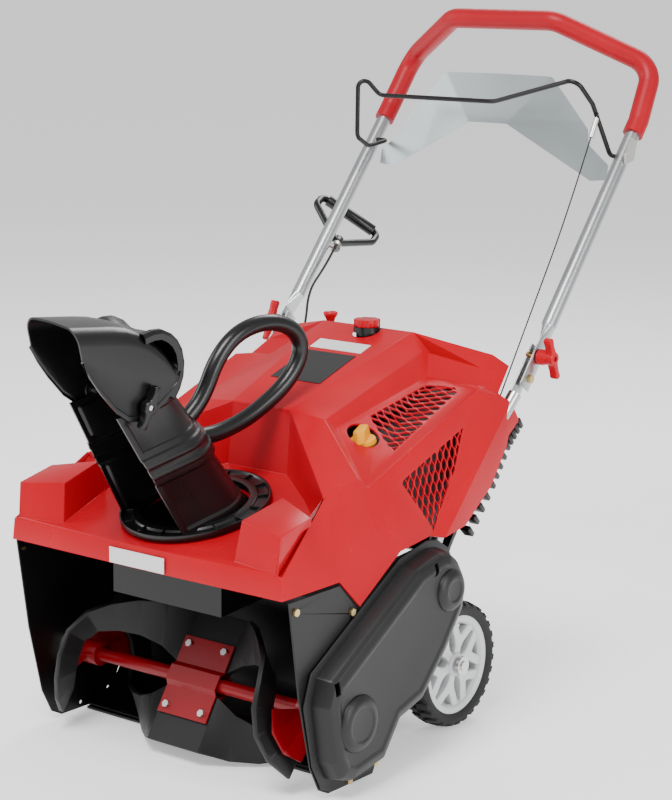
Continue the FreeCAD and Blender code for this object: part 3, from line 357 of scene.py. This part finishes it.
HOOD_POINTS = {
    # right half: name: (x, y, z)
    "spine_front": (0, -196, 522), "spine_back": (0, 77, 614), "spine_rear": (0, 145, 592),
    "ridge_front": (58, -196, 522), "ridge_back": (92, 77, 614), "ridge_rear": (110, 145, 590),
    "facet_front": (130, -200, 517), "facet_back": (120, 65, 585),
    "hump": (240, -340, 435), "hump_back": (250, -270, 455),
    "floor_in_front": (140, -183, 503), "floor_in_back": (140, 53, 550),
    "floor_tip": (240, -243, 439), "crease_front": (250, -247, 438), "crease_back": (250, 34, 545),
    "shelf_in": (240, 65, 543), "plateau_in": (122, 82, 582), "plateau_out": (220, 88, 567),
    "rear_out": (222, 119, 586), "rear_end": (237, 143, 566),
    "shelf_back": (251, 92, 530), "shelf_rear": (258, 118, 512),
    "fold_mid": (265, -62, 385), "fold_low": (273, -118, 342),
    "strip_mid": (271, 14, 428), "strip_low": (281, -90, 335),
    "rear_top": (259, 143, 479), "notch_top": (261, 110, 460), "notch_in": (263, 102, 444),
    "notch_low": (267, 54, 388), "rear_low": (278, -32, 342),
    "fold_foot": (279, -203, 336), "side_dip": (277, -299, 272), "side_mid": (276, -347, 319),
    "side_front": (272, -474, 317), "lip_corner": (270, -472, 350),
    "lip_middle": (0, -477, 317), "deck_front": (0, -476, 351),
    "deck_corner": (172, -472, 352), "deck_end": (183, -300, 398),
    "box_foot": (172, -462, 356), "box_foot_back": (186, -352, 388),
    "box_in": (178, -452, 416), "box_out": (262, -466, 408),
    "box_back_out": (262, -397, 423), "box_back_in": (186, -369, 436),
    "valley": (243, -371, 397), "wall_foot": (148, -270, 405), "wall_in": (60, -205, 421),
    "wall_middle": (0, -205, 421), "box_front_foot": (262, -470, 353),
}
HOOD_FACES = [
    "spine_front ridge_front ridge_back spine_back",
    "spine_back ridge_back ridge_rear spine_rear",
    "ridge_front facet_front facet_back ridge_back",
    "ridge_front hump hump_back facet_front",
    "facet_front floor_in_front floor_in_back facet_back",
    "facet_front hump_back floor_tip floor_in_front",
    "floor_in_front floor_tip crease_front crease_back shelf_in floor_in_back",
    "hump_back crease_front floor_tip",
    "floor_in_back shelf_in plateau_out plateau_in",
    "facet_back floor_in_back plateau_in",
    "ridge_back facet_back plateau_in plateau_out rear_out",
    "ridge_back rear_out rear_end ridge_rear",
    "plateau_out shelf_in shelf_back rear_end rear_out",
    "shelf_in crease_back shelf_rear shelf_back",
    "crease_front fold_foot fold_low fold_mid crease_back",
    "crease_back fold_mid strip_mid shelf_rear",
    "fold_mid fold_low strip_low strip_mid",
    "shelf_rear strip_mid notch_low notch_in notch_top rear_top",
    "strip_mid strip_low rear_low notch_low",
    "hump side_mid side_dip fold_foot crease_front hump_back",
    "hump lip_corner side_front side_mid",
    "lip_middle side_front lip_corner box_front_foot deck_corner deck_front",
    "lip_corner hump valley box_back_out box_out box_front_foot",
    "box_foot box_in box_out box_front_foot",
    "box_in box_back_in box_back_out box_out",
    "box_foot box_foot_back box_back_in box_in",
    "box_back_in box_foot_back deck_end valley box_back_out",
    "box_foot box_front_foot deck_corner",
    "deck_front deck_corner box_foot box_foot_back deck_end wall_foot wall_in wall_middle",
    "wall_middle wall_in ridge_front spine_front",
    "wall_in wall_foot ridge_front",
    "wall_foot deck_end hump ridge_front",
    "deck_end valley hump",
]


def hood_cutters():
    """Holes for the chute, filler, pull knob, choke and both grilles."""
    parts = []

    def round_hole(x, y, z, radius, push):
        ring = [at(x + radius * math.cos(a), y + radius * math.sin(a), z)
                for a in (2 * math.pi * i / 40 for i in range(40))]
        parts.append(prism(ring, Vector((0, 0, push * MM))))

    round_hole(0, -352, 385, 84, 40)
    for node, z, radius, push in (("fuel_cap", 605, 24, 30), ("key_knob", 600, 7, 30),
                                  ("choke_knob", 487, 25, 40)):
        spot = middle(node)
        round_hole(spot.x / MM, (spot.y - AXLE_Y) / MM, z, radius, push)
    top = [(-116, 150), (-153, 227), (22, 221), (34, 207), (29, 152)]
    for hole in honeycomb(top, 7.75, 32, 12.5, 5.9):
        parts.append(prism([at(x, y, 505) for y, x in hole], Vector((0, 0, 50 * MM))))
    side = [(-9, 491), (-39, 429), (-109, 348), (-170, 433)]
    for hole in honeycomb(side, 7.6, 31, 12, 5.7):
        for sign in (1, -1):
            outline = [at(sign * 262, y, z) for y, z in hole]
            parts.append(prism(outline, Vector((20 * MM, 0, 0))))
    return cutter_of(parts)


def hood():
    """The whole shell from one half and its mirror image."""
    names = list(HOOD_POINTS)
    verts = [at(*HOOD_POINTS[name]) for name in names]
    faces = [tuple(names.index(n) for n in face.split()) for face in HOOD_FACES]
    mirror = [Vector((-v.x, v.y, v.z)) for v in verts]
    count = len(names)
    faces += [tuple(i + count for i in reversed(face)) for face in faces]
    obj = solid("hood_shell", verts + mirror, faces, bevel=5.5, segments=4, angle=9,
                thickness=2.6, cutters=[hood_cutters()], even=True)
    return finished(obj, RED, "chassis", ["hood"], sharp=30)


hood()


def shade_behind_grilles():
    """Dark sheets close behind both grilles: painted shade for the shadowed inside of the hood."""
    for sign, side in ((1, "right"), (-1, "left")):
        top = [(135, -175, 478), (130, 84, 526), (236, 84, 520), (236, -190, 436)]
        skirt = [(238, 84, 519), (238, -200, 430), (238, -130, 330), (238, 0, 330)]
        verts = [at(sign * x, y, z) for x, y, z in top + skirt]
        # painted shade: these black sheets stand for the shadow seen through the grilles
        sheet = solid("painted_shade_sheet_" + side, verts, [(0, 1, 2, 3), (4, 5, 6, 7)], thickness=2)
        finished(sheet, BLACK_GRAIN, "chassis")


shade_behind_grilles()


def decals():
    """A blank light strip and a blank dark block on the top of the hood."""
    spine_front = Vector(HOOD_POINTS["spine_front"])
    along = (Vector(HOOD_POINTS["spine_back"]) - spine_front).normalized()
    up = Vector((0, -along.z, along.y))
    for name, mat, half, start, end in (("strip_label", WHITE, 52, 196, 226),
                                        ("block_label", DARK_LABEL, 50, 88, 186)):
        corners = [spine_front + Vector((x, 0, 0)) + along * d + up * lift for lift in (0.2, 0.9)
                   for x, d in ((-half, start), (half, start), (half, end), (-half, end))]
        faces = [(0, 1, 2, 3), (4, 5, 6, 7)]
        faces += [(i, (i + 1) % 4, (i + 1) % 4 + 4, i + 4) for i in range(4)]
        finished(solid(name, [at(*c) for c in corners], faces), mat, "chassis")


decals()


REAR_RIBS = 13


def rear_ribs():
    """Black moulded ribs that show behind the hood's rear edge."""
    line = [(262, 150, 470), (264, 112, 440), (268, 66, 386), (273, 0, 322)]
    for sign, side in ((1, "right"), (-1, "left")):
        parts = []
        for i in range(REAR_RIBS):
            t = i / (REAR_RIBS - 1) * (len(line) - 1)
            k = min(int(t), len(line) - 2)
            a, b = Vector(line[k]), Vector(line[k + 1])
            p = a + (b - a) * (t - k)
            heading = (b - a).normalized()
            out = Vector((0, -heading.z, heading.y))
            if out.y < 0:
                out = -out
            corners = [p + heading * u * 5 + out * v
                       for u, v in ((-1, -14), (1, -14), (0.8, 5), (-0.8, 5))]
            ring = [at(sign * (c.x - 11), c.y, c.z) for c in corners]
            parts.append(prism(ring, Vector((9 * MM, 0, 0))))
        finished(solid("rear_ribs_" + side, *joined(parts), bevel=2), BLACK, "chassis")


rear_ribs()


# ---------------------------------------------------------------- spout and deflector

SPOUT_FOOT = (0, -350, 388)
SPOUT_LEAN, SPOUT_HEADING = math.radians(14), math.radians(-10.4)
SPOUT_TURN = Matrix.Rotation(SPOUT_LEAN, 3, "X") @ Matrix.Rotation(SPOUT_HEADING, 3, "Z")
SIDEWAYS = SPOUT_TURN @ Vector((1, 0, 0))
CAP_HINGE = (102, 221)      # forward and up, on the spout


def spout_at(x, forward, up):
    """A point of the spout: sideways, the way it throws, and along its turning axis."""
    return at(*SPOUT_FOOT) + SPOUT_TURN @ Vector((x, -forward, up)) * MM


def channel_row(half, front, back, up, frame_in, panel_in):
    """One level of the channel: side edge, panel, rounded back and the mirror image."""
    centre = back + half
    row = [(half + frame_in, front), (half + frame_in, front - 9), (half + panel_in, front - 12)]
    row.append((half + panel_in, (front + centre) / 2))
    radius = half + panel_in
    for i in range(9):
        angle = math.pi / 2 * i / 8
        row.append((radius * math.cos(angle), centre - radius * math.sin(angle)))
    mirror = [(-x, f) for x, f in reversed(row[:-1])]
    return [spout_at(x, f, up) for x, f in row + mirror]


RING_RIBS = 16


def spout():
    """The channel with its recessed panels and stiffening band."""
    levels = [(2, 0, 0), (13, 0, 0), (16, 0, -3), (93, 0, -3), (96, 0, 0), (99, 4, 4),
              (108, 4, 4), (110, 5.5, 5.5), (115, 5.5, 5.5), (117, 4, 4), (126, 4, 4),
              (128, 5.5, 5.5), (133, 5.5, 5.5), (135, 4, 4), (141, 4, 4), (144, 0, 0),
              (152, 0, 0), (155, 0, -3), (204, 0, -3), (207, 0, 0), (217, 0, 0)]
    rows = []
    for up, frame_in, panel_in in levels:
        t = (up - 3) / 213
        rows.append(channel_row(78 - 18 * t, 82 + 66 * t, -75 + 92 * t, up, frame_in, panel_in))
    shell = solid("spout_shell", *loft(rows), bevel=1.2, segments=2, angle=14, thickness=3.6)
    finished(shell, BLACK, "spout", ["chute"], sharp=32)

    axis = SPOUT_TURN @ Vector((0, 0, 1))
    profile = [(-6, 84), (-6, 87), (2.5, 87), (2.5, 114), (0, 117), (9, 117), (9, 114), (5.5, 112),
               (5.5, 98), (8.5, 96), (8.5, 84)]
    turned("spout_ring", profile, spout_at(0, 0, 0), axis, BLACK, "spout")
    ribs = []
    for i in range(RING_RIBS):
        angle = math.radians(360 / RING_RIBS * i)
        out = Vector((math.cos(angle), math.sin(angle)))
        side = Vector((-out.y, out.x)) * 1.6
        flat = [out * 94 - side, out * 112 - side, out * 112 + side, out * 94 + side]
        low = [spout_at(p.x, p.y, 4.5) for p in flat]
        ribs.append(prism(low, axis * 4.6 * MM))
    finished(solid("spout_ring_ribs", *joined(ribs), bevel=0.8, segments=2), BLACK, "spout")

    route = [(20, 128), (-14, 142), (-50, 166), (-86, 214), (-135, 240), (-196, 236), (-243, 206),
             (-252, 164), (-212, 126), (-150, 105), (-100, 97), (-40, 100), (0, 116)]
    bar = tube("spout_loop", [spout_at(0, f, n) for f, n in route], 13.2)
    finished(bar, BLACK, "spout", sharp=60)
    for x, name in ((-62, "left"), (62, "right")):
        disc = lathe("spout_ear_" + name, [(-3, 14), (2, 15), (3, 14)],
                     spout_at(x, *CAP_HINGE), SIDEWAYS, bevel=0.6)
        finished(disc, BLACK, "spout")


CAP_STATIONS = [
    # side's lower edge, then the roof above it: (forward, up) twice
    ((190, 316), (190, 371)), ((184, 294), (178, 367)), ((172, 266), (157, 360)),
    ((152, 229), (121, 348)), ((134, 209), (100, 340)), ((115, 201), (84, 331)),
    ((99, 203), (70, 320)), ((82, 207), (58, 307)), ((65, 214), (48, 294)),
    ((50, 222), (41, 281)), ((39, 231), (36, 268)), ((33, 241), (32, 258)),
    ((31, 248), (31, 252)),
]


def deflector():
    """The hinged cap: an upturned trough with rounded shoulders and a raised border."""
    rows = []
    for low, high in CAP_STATIONS:
        low, high = Vector(low), Vector(high)
        rise = (high - low).length
        way = (high - low) / rise
        radius = min(26, rise * 0.8)
        half = 65.0
        profile = [(half + 1.8, 0), (half + 1.8, min(7, rise * 0.1)), (half, min(9, rise * 0.13))]
        profile.append((half, (rise - radius) * 0.55 + 2))
        for i in range(9):
            angle = math.pi / 2 * i / 8
            profile.append((half - radius + radius * math.cos(angle),
                            rise - radius + radius * math.sin(angle)))
        profile.append(((half - radius) * 0.5, rise + 1.2))
        profile.append((0, rise + 1.8))
        row = profile + [(-x, u) for x, u in reversed(profile[:-1])]
        rows.append([spout_at(x, low.x + way.x * u, low.y + way.y * u) for x, u in row])
    cap = solid("deflector_shell", *loft(rows), bevel=0.9, segments=2, angle=24, thickness=3.2)
    finished(cap, BLACK, "spout_cap", ["deflector"], sharp=40)

    path = [(80, 322), (62, 322), (46, 318), (32, 307), (23, 294), (18, 278), (18, 258),
            (24, 238), (34, 222), (46, 210)]
    rows = []
    for i, (forward, up) in enumerate(path):
        heading = Vector(path[min(i + 1, len(path) - 1)]) - Vector(path[max(i - 1, 0)])
        inward = Vector((-heading.y, heading.x)).normalized()
        row = []
        for x, lift in ((-63, 13), (-64, 5), (-61, 1), (-54, 1), (-40, 8), (0, 11), (40, 8),
                        (54, 1), (61, 1), (64, 5), (63, 13)):
            row.append(spout_at(x, forward + inward.x * lift, up + inward.y * lift))
        rows.append(row)
    visor = solid("deflector_visor", *loft(rows), thickness=-2.4)
    finished(visor, BLACK, "spout_cap", sharp=40)


def wing_knob(name, centre, axis, lean, mat, body, length=31, replaced=()):
    """A hub with two swept wings and a hexagonal pocket."""
    axis = Vector(axis).normalized()
    up = (Vector((0, 0, 1)) - axis * axis.z).normalized()
    up = Matrix.Rotation(math.radians(lean), 3, axis) @ up
    side = axis.cross(up)
    half = [(0, 11.5), (6, 10), (9, 5.5), (length * 0.6, 4.2), (length - 3, 6), (length, 3.5),
            (length, -3.5), (length - 4, -5.5), (length * 0.6, -4.4), (9, -6.5), (6, -9.5)]
    outline = half + [(-u, -v) for u, v in half]
    hexagon = [centre + axis * 9 * MM + (up * math.cos(a) + side * math.sin(a)) * 5 * MM
               for a in (math.pi / 3 * i for i in range(6))]
    pocket = solid("cutter", *prism(hexagon, axis * 5 * MM))
    blade = solid(name, *prism([centre + (up * u + side * v) * MM for u, v in outline],
                               axis * 7 * MM), bevel=1.8, segments=3, cutters=[pocket])
    return finished(blade, mat, body, replaced, sharp=45)


spout()
deflector()
wing_knob("deflector_wing", spout_at(76, *CAP_HINGE), SIDEWAYS, -24, BLACK, "spout_knob",
          33, ["deflector_knob"])


# ---------------------------------------------------------------- belt cover

COVER_GAP = 0.6
# outlines of (y, z): the flange on the side plate, then the foot of the tub
COVER_FLANGE = [(-417, 198), (-433, 152), (-412, 56), (-391, 17), (-365, 5), (-324, 5), (-259, 15),
                (-241, 32), (-224, 68), (-211, 82), (-169, 88), (-110, 156), (-63, 219), (-56, 241),
                (-61, 285), (-79, 317), (-109, 336), (-137, 339), (-205, 325)]
COVER_TUB = [(-404, 190), (-417, 150), (-401, 62), (-384, 31), (-352, 20), (-273, 33),
             (-234, 85), (-178, 101), (-118, 164), (-74, 223), (-69, 245), (-73, 282), (-89, 308),
             (-112, 325), (-136, 328), (-198, 314)]


def inset(outline, distance):
    """The outline moved inwards by a distance."""
    sign = 1 if twice_area(outline) > 0 else -1
    moved = []
    for i, p in enumerate(outline):
        a, b = outline[i - 1], outline[(i + 1) % len(outline)]
        u = Vector((p[0] - a[0], p[1] - a[1])).normalized()
        v = Vector((b[0] - p[0], b[1] - p[1])).normalized()
        n = Vector((-(u.y + v.y), u.x + v.x)) * sign
        n.normalize()
        scale = distance / max(0.5, abs(n.dot(Vector((-u.y, u.x)))))
        moved.append((p[0] + n.x * scale, p[1] + n.y * scale))
    return moved


def belt_cover():
    """Flange, stepped tub, two pulley bosses and the cooling slots."""
    x = PLATE_X + COVER_GAP
    rows = [[at(x + lift, y, z) for y, z in COVER_FLANGE] for lift in (0, 3)]
    flange = solid("belt_cover_flange", *loft(rows, wrap=True, capped=True), bevel=1.2)
    finished(flange, BLACK_GRAIN, "chassis")
    slots = []
    for y, z in ((-155, 303), (-394, 176)):
        outline = [at(x + 36, *p) for p in ((y - 4, z - 11), (y + 4, z - 8), (y + 4, z + 11),
                                            (y - 4, z + 8))]
        slots.append(prism(outline, Vector((20 * MM, 0, 0))))
    steps = [(0, 0), (14, 1.5), (26, 4), (33, 9), (37, 19), (37.4, 24), (35.4, 28)]
    rows = [[at(x + lift, y, z) for y, z in inset(COVER_TUB, d)] for lift, d in steps]
    verts, faces = loft(rows, wrap=True)
    width = len(COVER_TUB)
    faces.append(tuple((len(rows) - 1) * width + i for i in range(width)))
    tub = solid("belt_cover_tub", verts, faces, bevel=3, segments=4, angle=10, thickness=3,
                cutters=[cutter_of(slots)])
    finished(tub, BLACK_GRAIN, "chassis", ["belt_cover"], sharp=35)
    for name, node, radius in (("auger", "auger_pulley", 37), ("crank", "crank_pulley", 27)):
        where = middle(node)
        origin = Vector((x * MM, where.y, where.z))
        boss = lathe("belt_cover_boss_" + name,
                     [(30, radius + 8), (38, radius + 6), (42, radius + 1), (44, radius - 4),
                      (44.2, radius - 9), (42.8, radius - 12)],
                     origin, (1, 0, 0), bevel=1.0, segments=2)
        finished(boss, BLACK_GRAIN, "chassis", sharp=50)


belt_cover()


# ---------------------------------------------------------------- wheels

TYRE_LUGS = 30          # in each of the two staggered rows
RIM_ARMS = 6


def wheel(side, sign):
    """Treaded tyre and six-armed rim."""
    centre = middle("tyre_" + side)
    axis = Vector((sign, 0, 0))
    body = side + "_wheel"
    profile = [(-17, 79), (-21, 84), (-22.6, 90), (-21.5, 94.5), (-17.5, 97.5), (0, 98.2),
               (17.5, 97.5), (21.5, 94.5), (22.6, 90), (21, 84), (17, 79), (0, 77.5)]
    turned("tyre_body_" + side, profile, centre, axis, TYRE, body,
           replaced=["tyre_" + side], bevel=1.0)
    lugs = []
    for i in range(TYRE_LUGS):
        for part, shift in ((-1, 0.0), (1, 0.5)):
            mid = 2 * math.pi * (i + shift) / TYRE_LUGS
            corners = []
            for along, around in ((1.0, -0.30), (9.5, -0.44), (21.6, -0.22), (22.0, 0.28),
                                  (9.0, 0.10), (1.0, 0.30)):
                angle = mid + around * 2 * math.pi / TYRE_LUGS
                corners.append((part * along, angle))
            inner = [centre + (axis * a + Vector((0, math.cos(t), math.sin(t))) *
                               (94 if abs(a) > 15 else 97)) * MM for a, t in corners]
            outer = [centre + (axis * a * 0.97 + Vector((0, math.cos(t), math.sin(t))) *
                               (98.8 if abs(a) > 15 else 101.9)) * MM for a, t in corners]
            lugs.append(loft([inner, outer], wrap=True, capped=True))
    finished(solid("tyre_lugs_" + side, *joined(lugs), bevel=0.7, segments=2), TYRE, body)

    rim = [(-17, 80), (-17, 70), (-6, 66), (10, 66), (16, 70), (18, 77), (17, 81), (10, 79),
           (-10, 79)]
    turned("rim_ring_" + side, rim, centre, axis, RIM, body, replaced=["rim_" + side])
    hub = [(-18, 12), (-18, 19), (12, 20), (17, 18), (18, 12), (15, 8.4), (-18, 8.4)]
    turned("rim_hub_" + side, hub, centre, axis, RIM, body)
    arms = []
    shape = [(15, -8), (28, -7.5), (38, -12), (54, -26), (64, -34), (71, -20), (62, -12.5),
             (51, -3.5), (48, 0), (51, 3.5), (62, 12.5), (71, 20), (64, 34), (54, 26), (38, 12),
             (28, 7.5), (15, 8)]
    for i in range(RIM_ARMS):
        turn = Matrix.Rotation(math.radians(360 / RIM_ARMS * i + 12), 3, "X")
        base = [centre + (turn @ Vector((0, r, t)) + axis * 6) * MM for r, t in shape]
        arms.append(prism(base, axis * 7.5 * MM))
    finished(solid("rim_arms_" + side, *joined(arms), bevel=2.2, segments=3), RIM, body,
             sharp=40)
    cap = middle("hub_caps")
    button = lathe("rim_button_" + side, [(12, 13), (19, 12), (21, 9), (21.5, 4)],
                   Vector((centre.x, cap.y, cap.z)), axis, bevel=1.2)
    finished(button, RIM, body, sharp=50)


wheel("left", -1)
wheel("right", 1)


# ---------------------------------------------------------------- knobs and panel

def choke():
    """The wedge-shaped choke knob in its round dish."""
    centre = middle("choke_knob")
    foot = Vector((centre.x, centre.y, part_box("choke_knob")[0][2]))
    slope = Vector((0, -0.21, 0.978)).normalized()
    base = lathe("choke_disc", [(0, 20), (3, 21.5), (9, 20.5), (11, 17)], foot, slope, bevel=0.8)
    finished(base, YELLOW, "choke", ["choke_knob"], sharp=50)
    along = Vector((0.35, -0.93, -0.2)).normalized()
    side = slope.cross(along).normalized()
    low = [(-18, -9), (19, -11), (26, 0), (19, 11), (-18, 9)]
    high = [(-16, -7), (13, -9), (21, 0), (13, 9), (-16, 7)]
    rows = [[foot + (slope * 7 + along * a + side * b) * MM for a, b in low],
            [foot + (slope * 27 + along * a + side * b) * MM for a, b in high]]
    wedge = solid("choke_wedge", *loft(rows, wrap=True, capped=True), bevel=2.4, segments=3)
    finished(wedge, YELLOW, "choke", sharp=45)


def pull_knob():
    """The trumpet-shaped pull knob."""
    low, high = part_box("key_knob")
    top = high[2]
    base = middle("key_knob")
    tall = (top - low[2]) / MM
    profile = [(0, 3.5), (tall * 0.45, 3.6), (tall * 0.6, 5), (tall * 0.8, 8.5), (tall * 0.9, 12),
               (tall * 0.96, 12.6), (tall, 11), (tall - 1.5, 7)]
    knob = lathe("pull_knob_trumpet", profile, Vector((base.x, base.y, low[2])), (0, 0, 1),
                 bevel=0.6)
    finished(knob, RED, "pull_knob", ["key_knob"], sharp=50)


WING_SWEEP = 14


def panel():
    """The folded sheet: a central plate and a wing bent back on each side."""
    half = [(0, 447.5, 1014), (111, 447, 1013), (189, 427, 928), (196, 420, 902), (238, 416, 870),
            (238, 411, 845), (208, 409, 842), (40, 417, 930), (0, 417, 930)]
    points = [at(*p) for p in half]
    verts = points + [Vector((-p.x, p.y, p.z)) for p in points]
    n = len(half)
    wing = (1, 2, 3, 4, 5, 6, 7)
    faces = [(0, 1, 7, 8), tuple(i + n for i in (8, 7, 1, 0)), wing,
             tuple(i + n for i in reversed(wing))]
    for i in (2, 3, 4, 5, 6):
        verts[i].y += WING_SWEEP * MM
        verts[i + n].y += WING_SWEEP * MM
    sheet = solid("panel_sheet", verts, faces, bevel=3, segments=4, angle=4, thickness=2)
    finished(sheet, SHEET, "handle", ["control_panel"], sharp=30)


def handle_knob(side, sign):
    """The stem and wings of the knob that clamps one handle tube."""
    node = "handle_knob_" + side
    body = side + "_knob"
    hub = middle(node)
    inner_x = abs(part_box(node)[0 if sign > 0 else 1][0])
    stem = lathe("knob_stem_" + side, [(0.4, 13), (8, 13), (16, 11), (24, 11)],
                 Vector((sign * inner_x, hub.y, hub.z)), (sign, 0, 0), bevel=1)
    finished(stem, RED, body, sharp=50)
    wing_knob("knob_wing_" + side, Vector((sign * (inner_x + 24 * MM), hub.y, hub.z)),
              (sign, 0, 0), 20, RED, body, 36, [node])


choke()
pull_knob()
panel()
handle_knob("left", -1)
handle_knob("right", 1)


# ---------------------------------------------------------------- cords

ROPE_RADIUS = 2.2
CABLE_RADIUS = 1.2


def strand(name, route, radius, stands_for):
    """A cord on one smooth line through its route, with its centre line read back."""
    points = [at(*p) for p in route]
    obj = tube(name, points, radius)
    holder = nurbs(name + "_line", points, 12)
    line = bpy.data.meshes.new_from_object(holder)
    bpy.data.objects.remove(holder)
    finished(obj, ROPE, None, stands_for, sharp=60)
    return obj


def cords():
    """The starter rope from its guide into the hood, and the control cable."""
    guide, pull = Vector((-247.6, 303.8, 701.1)), Vector((-45, 102, 44)).normalized()
    rope = strand("starter_rope_run",
                  [guide - pull * 2, guide - pull * 14, (-240, 262, 668), (-210, 182, 640),
                   (-198, 160, 585), (-192, 118, 500), (-186, 90, 455)],
                  ROPE_RADIUS, ["starter_rope"])
    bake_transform(rope)
    stub = strand("starter_rope_stub", [guide - pull * 12, guide + pull * 6, guide + pull * 22],
                  ROPE_RADIUS, ["starter_rope"])
    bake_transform(stub)
    cable = strand("control_cable_run",
                   [(243, 385, 961), (237, 312, 806), (231, 206, 634), (228, 129, 511),
                    (226, 98, 462)],
                   CABLE_RADIUS, ["control_cable"])
    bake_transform(cable)


cords()


# ---------------------------------------------------------------- camera, light and floor

def aim():
    """The photograph's viewpoint."""
    data = bpy.data.cameras.new("camera")
    camera = bpy.data.objects.new("camera", data)
    bpy.context.scene.collection.objects.link(camera)
    camera.location = at(2210.5, -2836.3, 1216.4)
    turn = Matrix.Rotation(math.radians(38.58), 4, "Z")
    pitch = Matrix.Rotation(math.radians(90 - 9.88), 4, "X")
    roll = Matrix.Rotation(math.radians(0.39), 4, "Z")
    camera.matrix_world = Matrix.Translation(camera.location) @ turn @ pitch @ roll
    data.sensor_width = 36
    data.lens = 101.0
    data.shift_x = 0.0278
    data.shift_y = -0.0676
    data.clip_end = 100
    bpy.context.scene.camera = camera


def lamp(name, place, target, power, size):
    """A rectangular area light, aimed at a point."""
    data = bpy.data.lights.new(name, "AREA")
    data.energy = power
    data.shape = "RECTANGLE"
    data.size = size[0]
    data.size_y = size[1]
    obj = bpy.data.objects.new(name, data)
    bpy.context.scene.collection.objects.link(obj)
    obj.location = place
    obj.rotation_euler = (Vector(target) - Vector(place)).to_track_quat("-Z", "Y").to_euler()


FLOOR_REACH = 90        # metres each way
FLOOR_DROP = -0.001


def studio():
    """Even white surroundings, four soft lamps and a pale floor."""
    world = bpy.data.worlds.new("studio")
    world.use_nodes = True
    world.node_tree.nodes["Background"].inputs[0].default_value = (1, 1, 1, 1)
    world.node_tree.nodes["Background"].inputs[1].default_value = 0.62
    bpy.context.scene.world = world
    aimed = (0, 0, 0.5)
    lamp("key", (0.6, -2.6, 4.2), aimed, 210, (1.8, 1.8))
    lamp("side", (3.8, -0.4, 1.6), aimed, 85, (1.2, 2.4))
    lamp("left", (-3.4, -1.8, 2.2), aimed, 50, (1.2, 2.4))
    lamp("back", (-0.8, 3.0, 3.4), aimed, 90, (2.4, 1.4))
    corners = [Vector((x * FLOOR_REACH, y * FLOOR_REACH, FLOOR_DROP))
               for x, y in ((-1, -1), (1, -1), (1, 1), (-1, 1))]
    floor = solid("floor", corners, [(0, 1, 2, 3)])
    pale = surface("floor_paint", (0.93, 0.93, 0.93), 0.7, grain=60, bump=0.01, mottle=0.005)
    glow = pale.node_tree.nodes["Principled BSDF"]
    glow.inputs["Emission Color"].default_value = (1, 1, 1, 1)
    glow.inputs["Emission Strength"].default_value = 0.45
    floor.data.materials.append(pale)


aim()
studio()


# ---------------------------------------------------------------- carried-over CAD nodes

CAD_FINISH = {
    BLACK_PAINT: ["side_plate_left", "side_plate_right", "auger_housing", "engine_frame", "bail",
                  "discharge_duct"],
    BLACK: ["scraper_bar", "belt_cover", "rear_cover", "wheel_spacers",
            "fuel_tank", "recoil_housing", "recoil_reel", "starter_grip", "chute", "deflector",
            "deflector_knob"],
    RED_PAINT: ["auger_shaft", "auger_brackets", "auger_ends"],
    RED: ["fuel_cap", "key_knob", "handle_knob_left", "handle_knob_right"],
    RED_FOAM: ["grip"],
    RUBBER: ["auger_paddle_a", "auger_paddle_b", "drive_belt"],
    TYRE: ["tyre_left", "tyre_right"],
    RIM: ["rim_left", "rim_right"],
    TUBE: ["upper_handle", "lower_handle_left", "lower_handle_right"],
    SHEET: ["control_panel"],
    ZINC: ["axle", "hub_caps", "auger_bolts", "deflector_bolts", "bail_bracket", "cable_spring",
           "rope_guide", "auger_bearings", "auger_pulley", "crank_pulley", "idler_pulley",
           "crankshaft", "idler_arm"],
    GOLD: ["chassis_bolts", "handle_bolts"],
    CASTING: ["engine_block", "muffler", "carburettor"],
    YELLOW: ["choke_knob"],
    WHITE: ["front_label"],
    ROPE: ["starter_rope", "control_cable"],
}


def dress_nodes():
    """Each carried-over node in its finish."""
    for mat, names in CAD_FINISH.items():
        for name in names:
            slots = nodes[name].material_slots
            if not slots:
                nodes[name].data.materials.append(mat)
            for one in slots:
                one.material = mat


def soften_nodes():
    """Rounded edges on the CAD nodes that stay in view."""
    for name in ("side_plate_left", "side_plate_right", "discharge_duct", "auger_brackets",
                 "auger_paddle_a", "auger_paddle_b", "auger_ends", "engine_frame", "fuel_cap",
                 "rear_cover", "bail_bracket", "starter_grip", "scraper_bar"):
        obj = nodes[name]
        obj.modifiers.new("weld", "WELD").merge_threshold = 0.00002
        soft = obj.modifiers.new("round", "BEVEL")
        soft.width = 0.9 * MM
        soft.segments = 2
        soft.limit_method = "ANGLE"
        soft.angle_limit = math.radians(35)
        soft.harden_normals = True


dress_nodes()
soften_nodes()
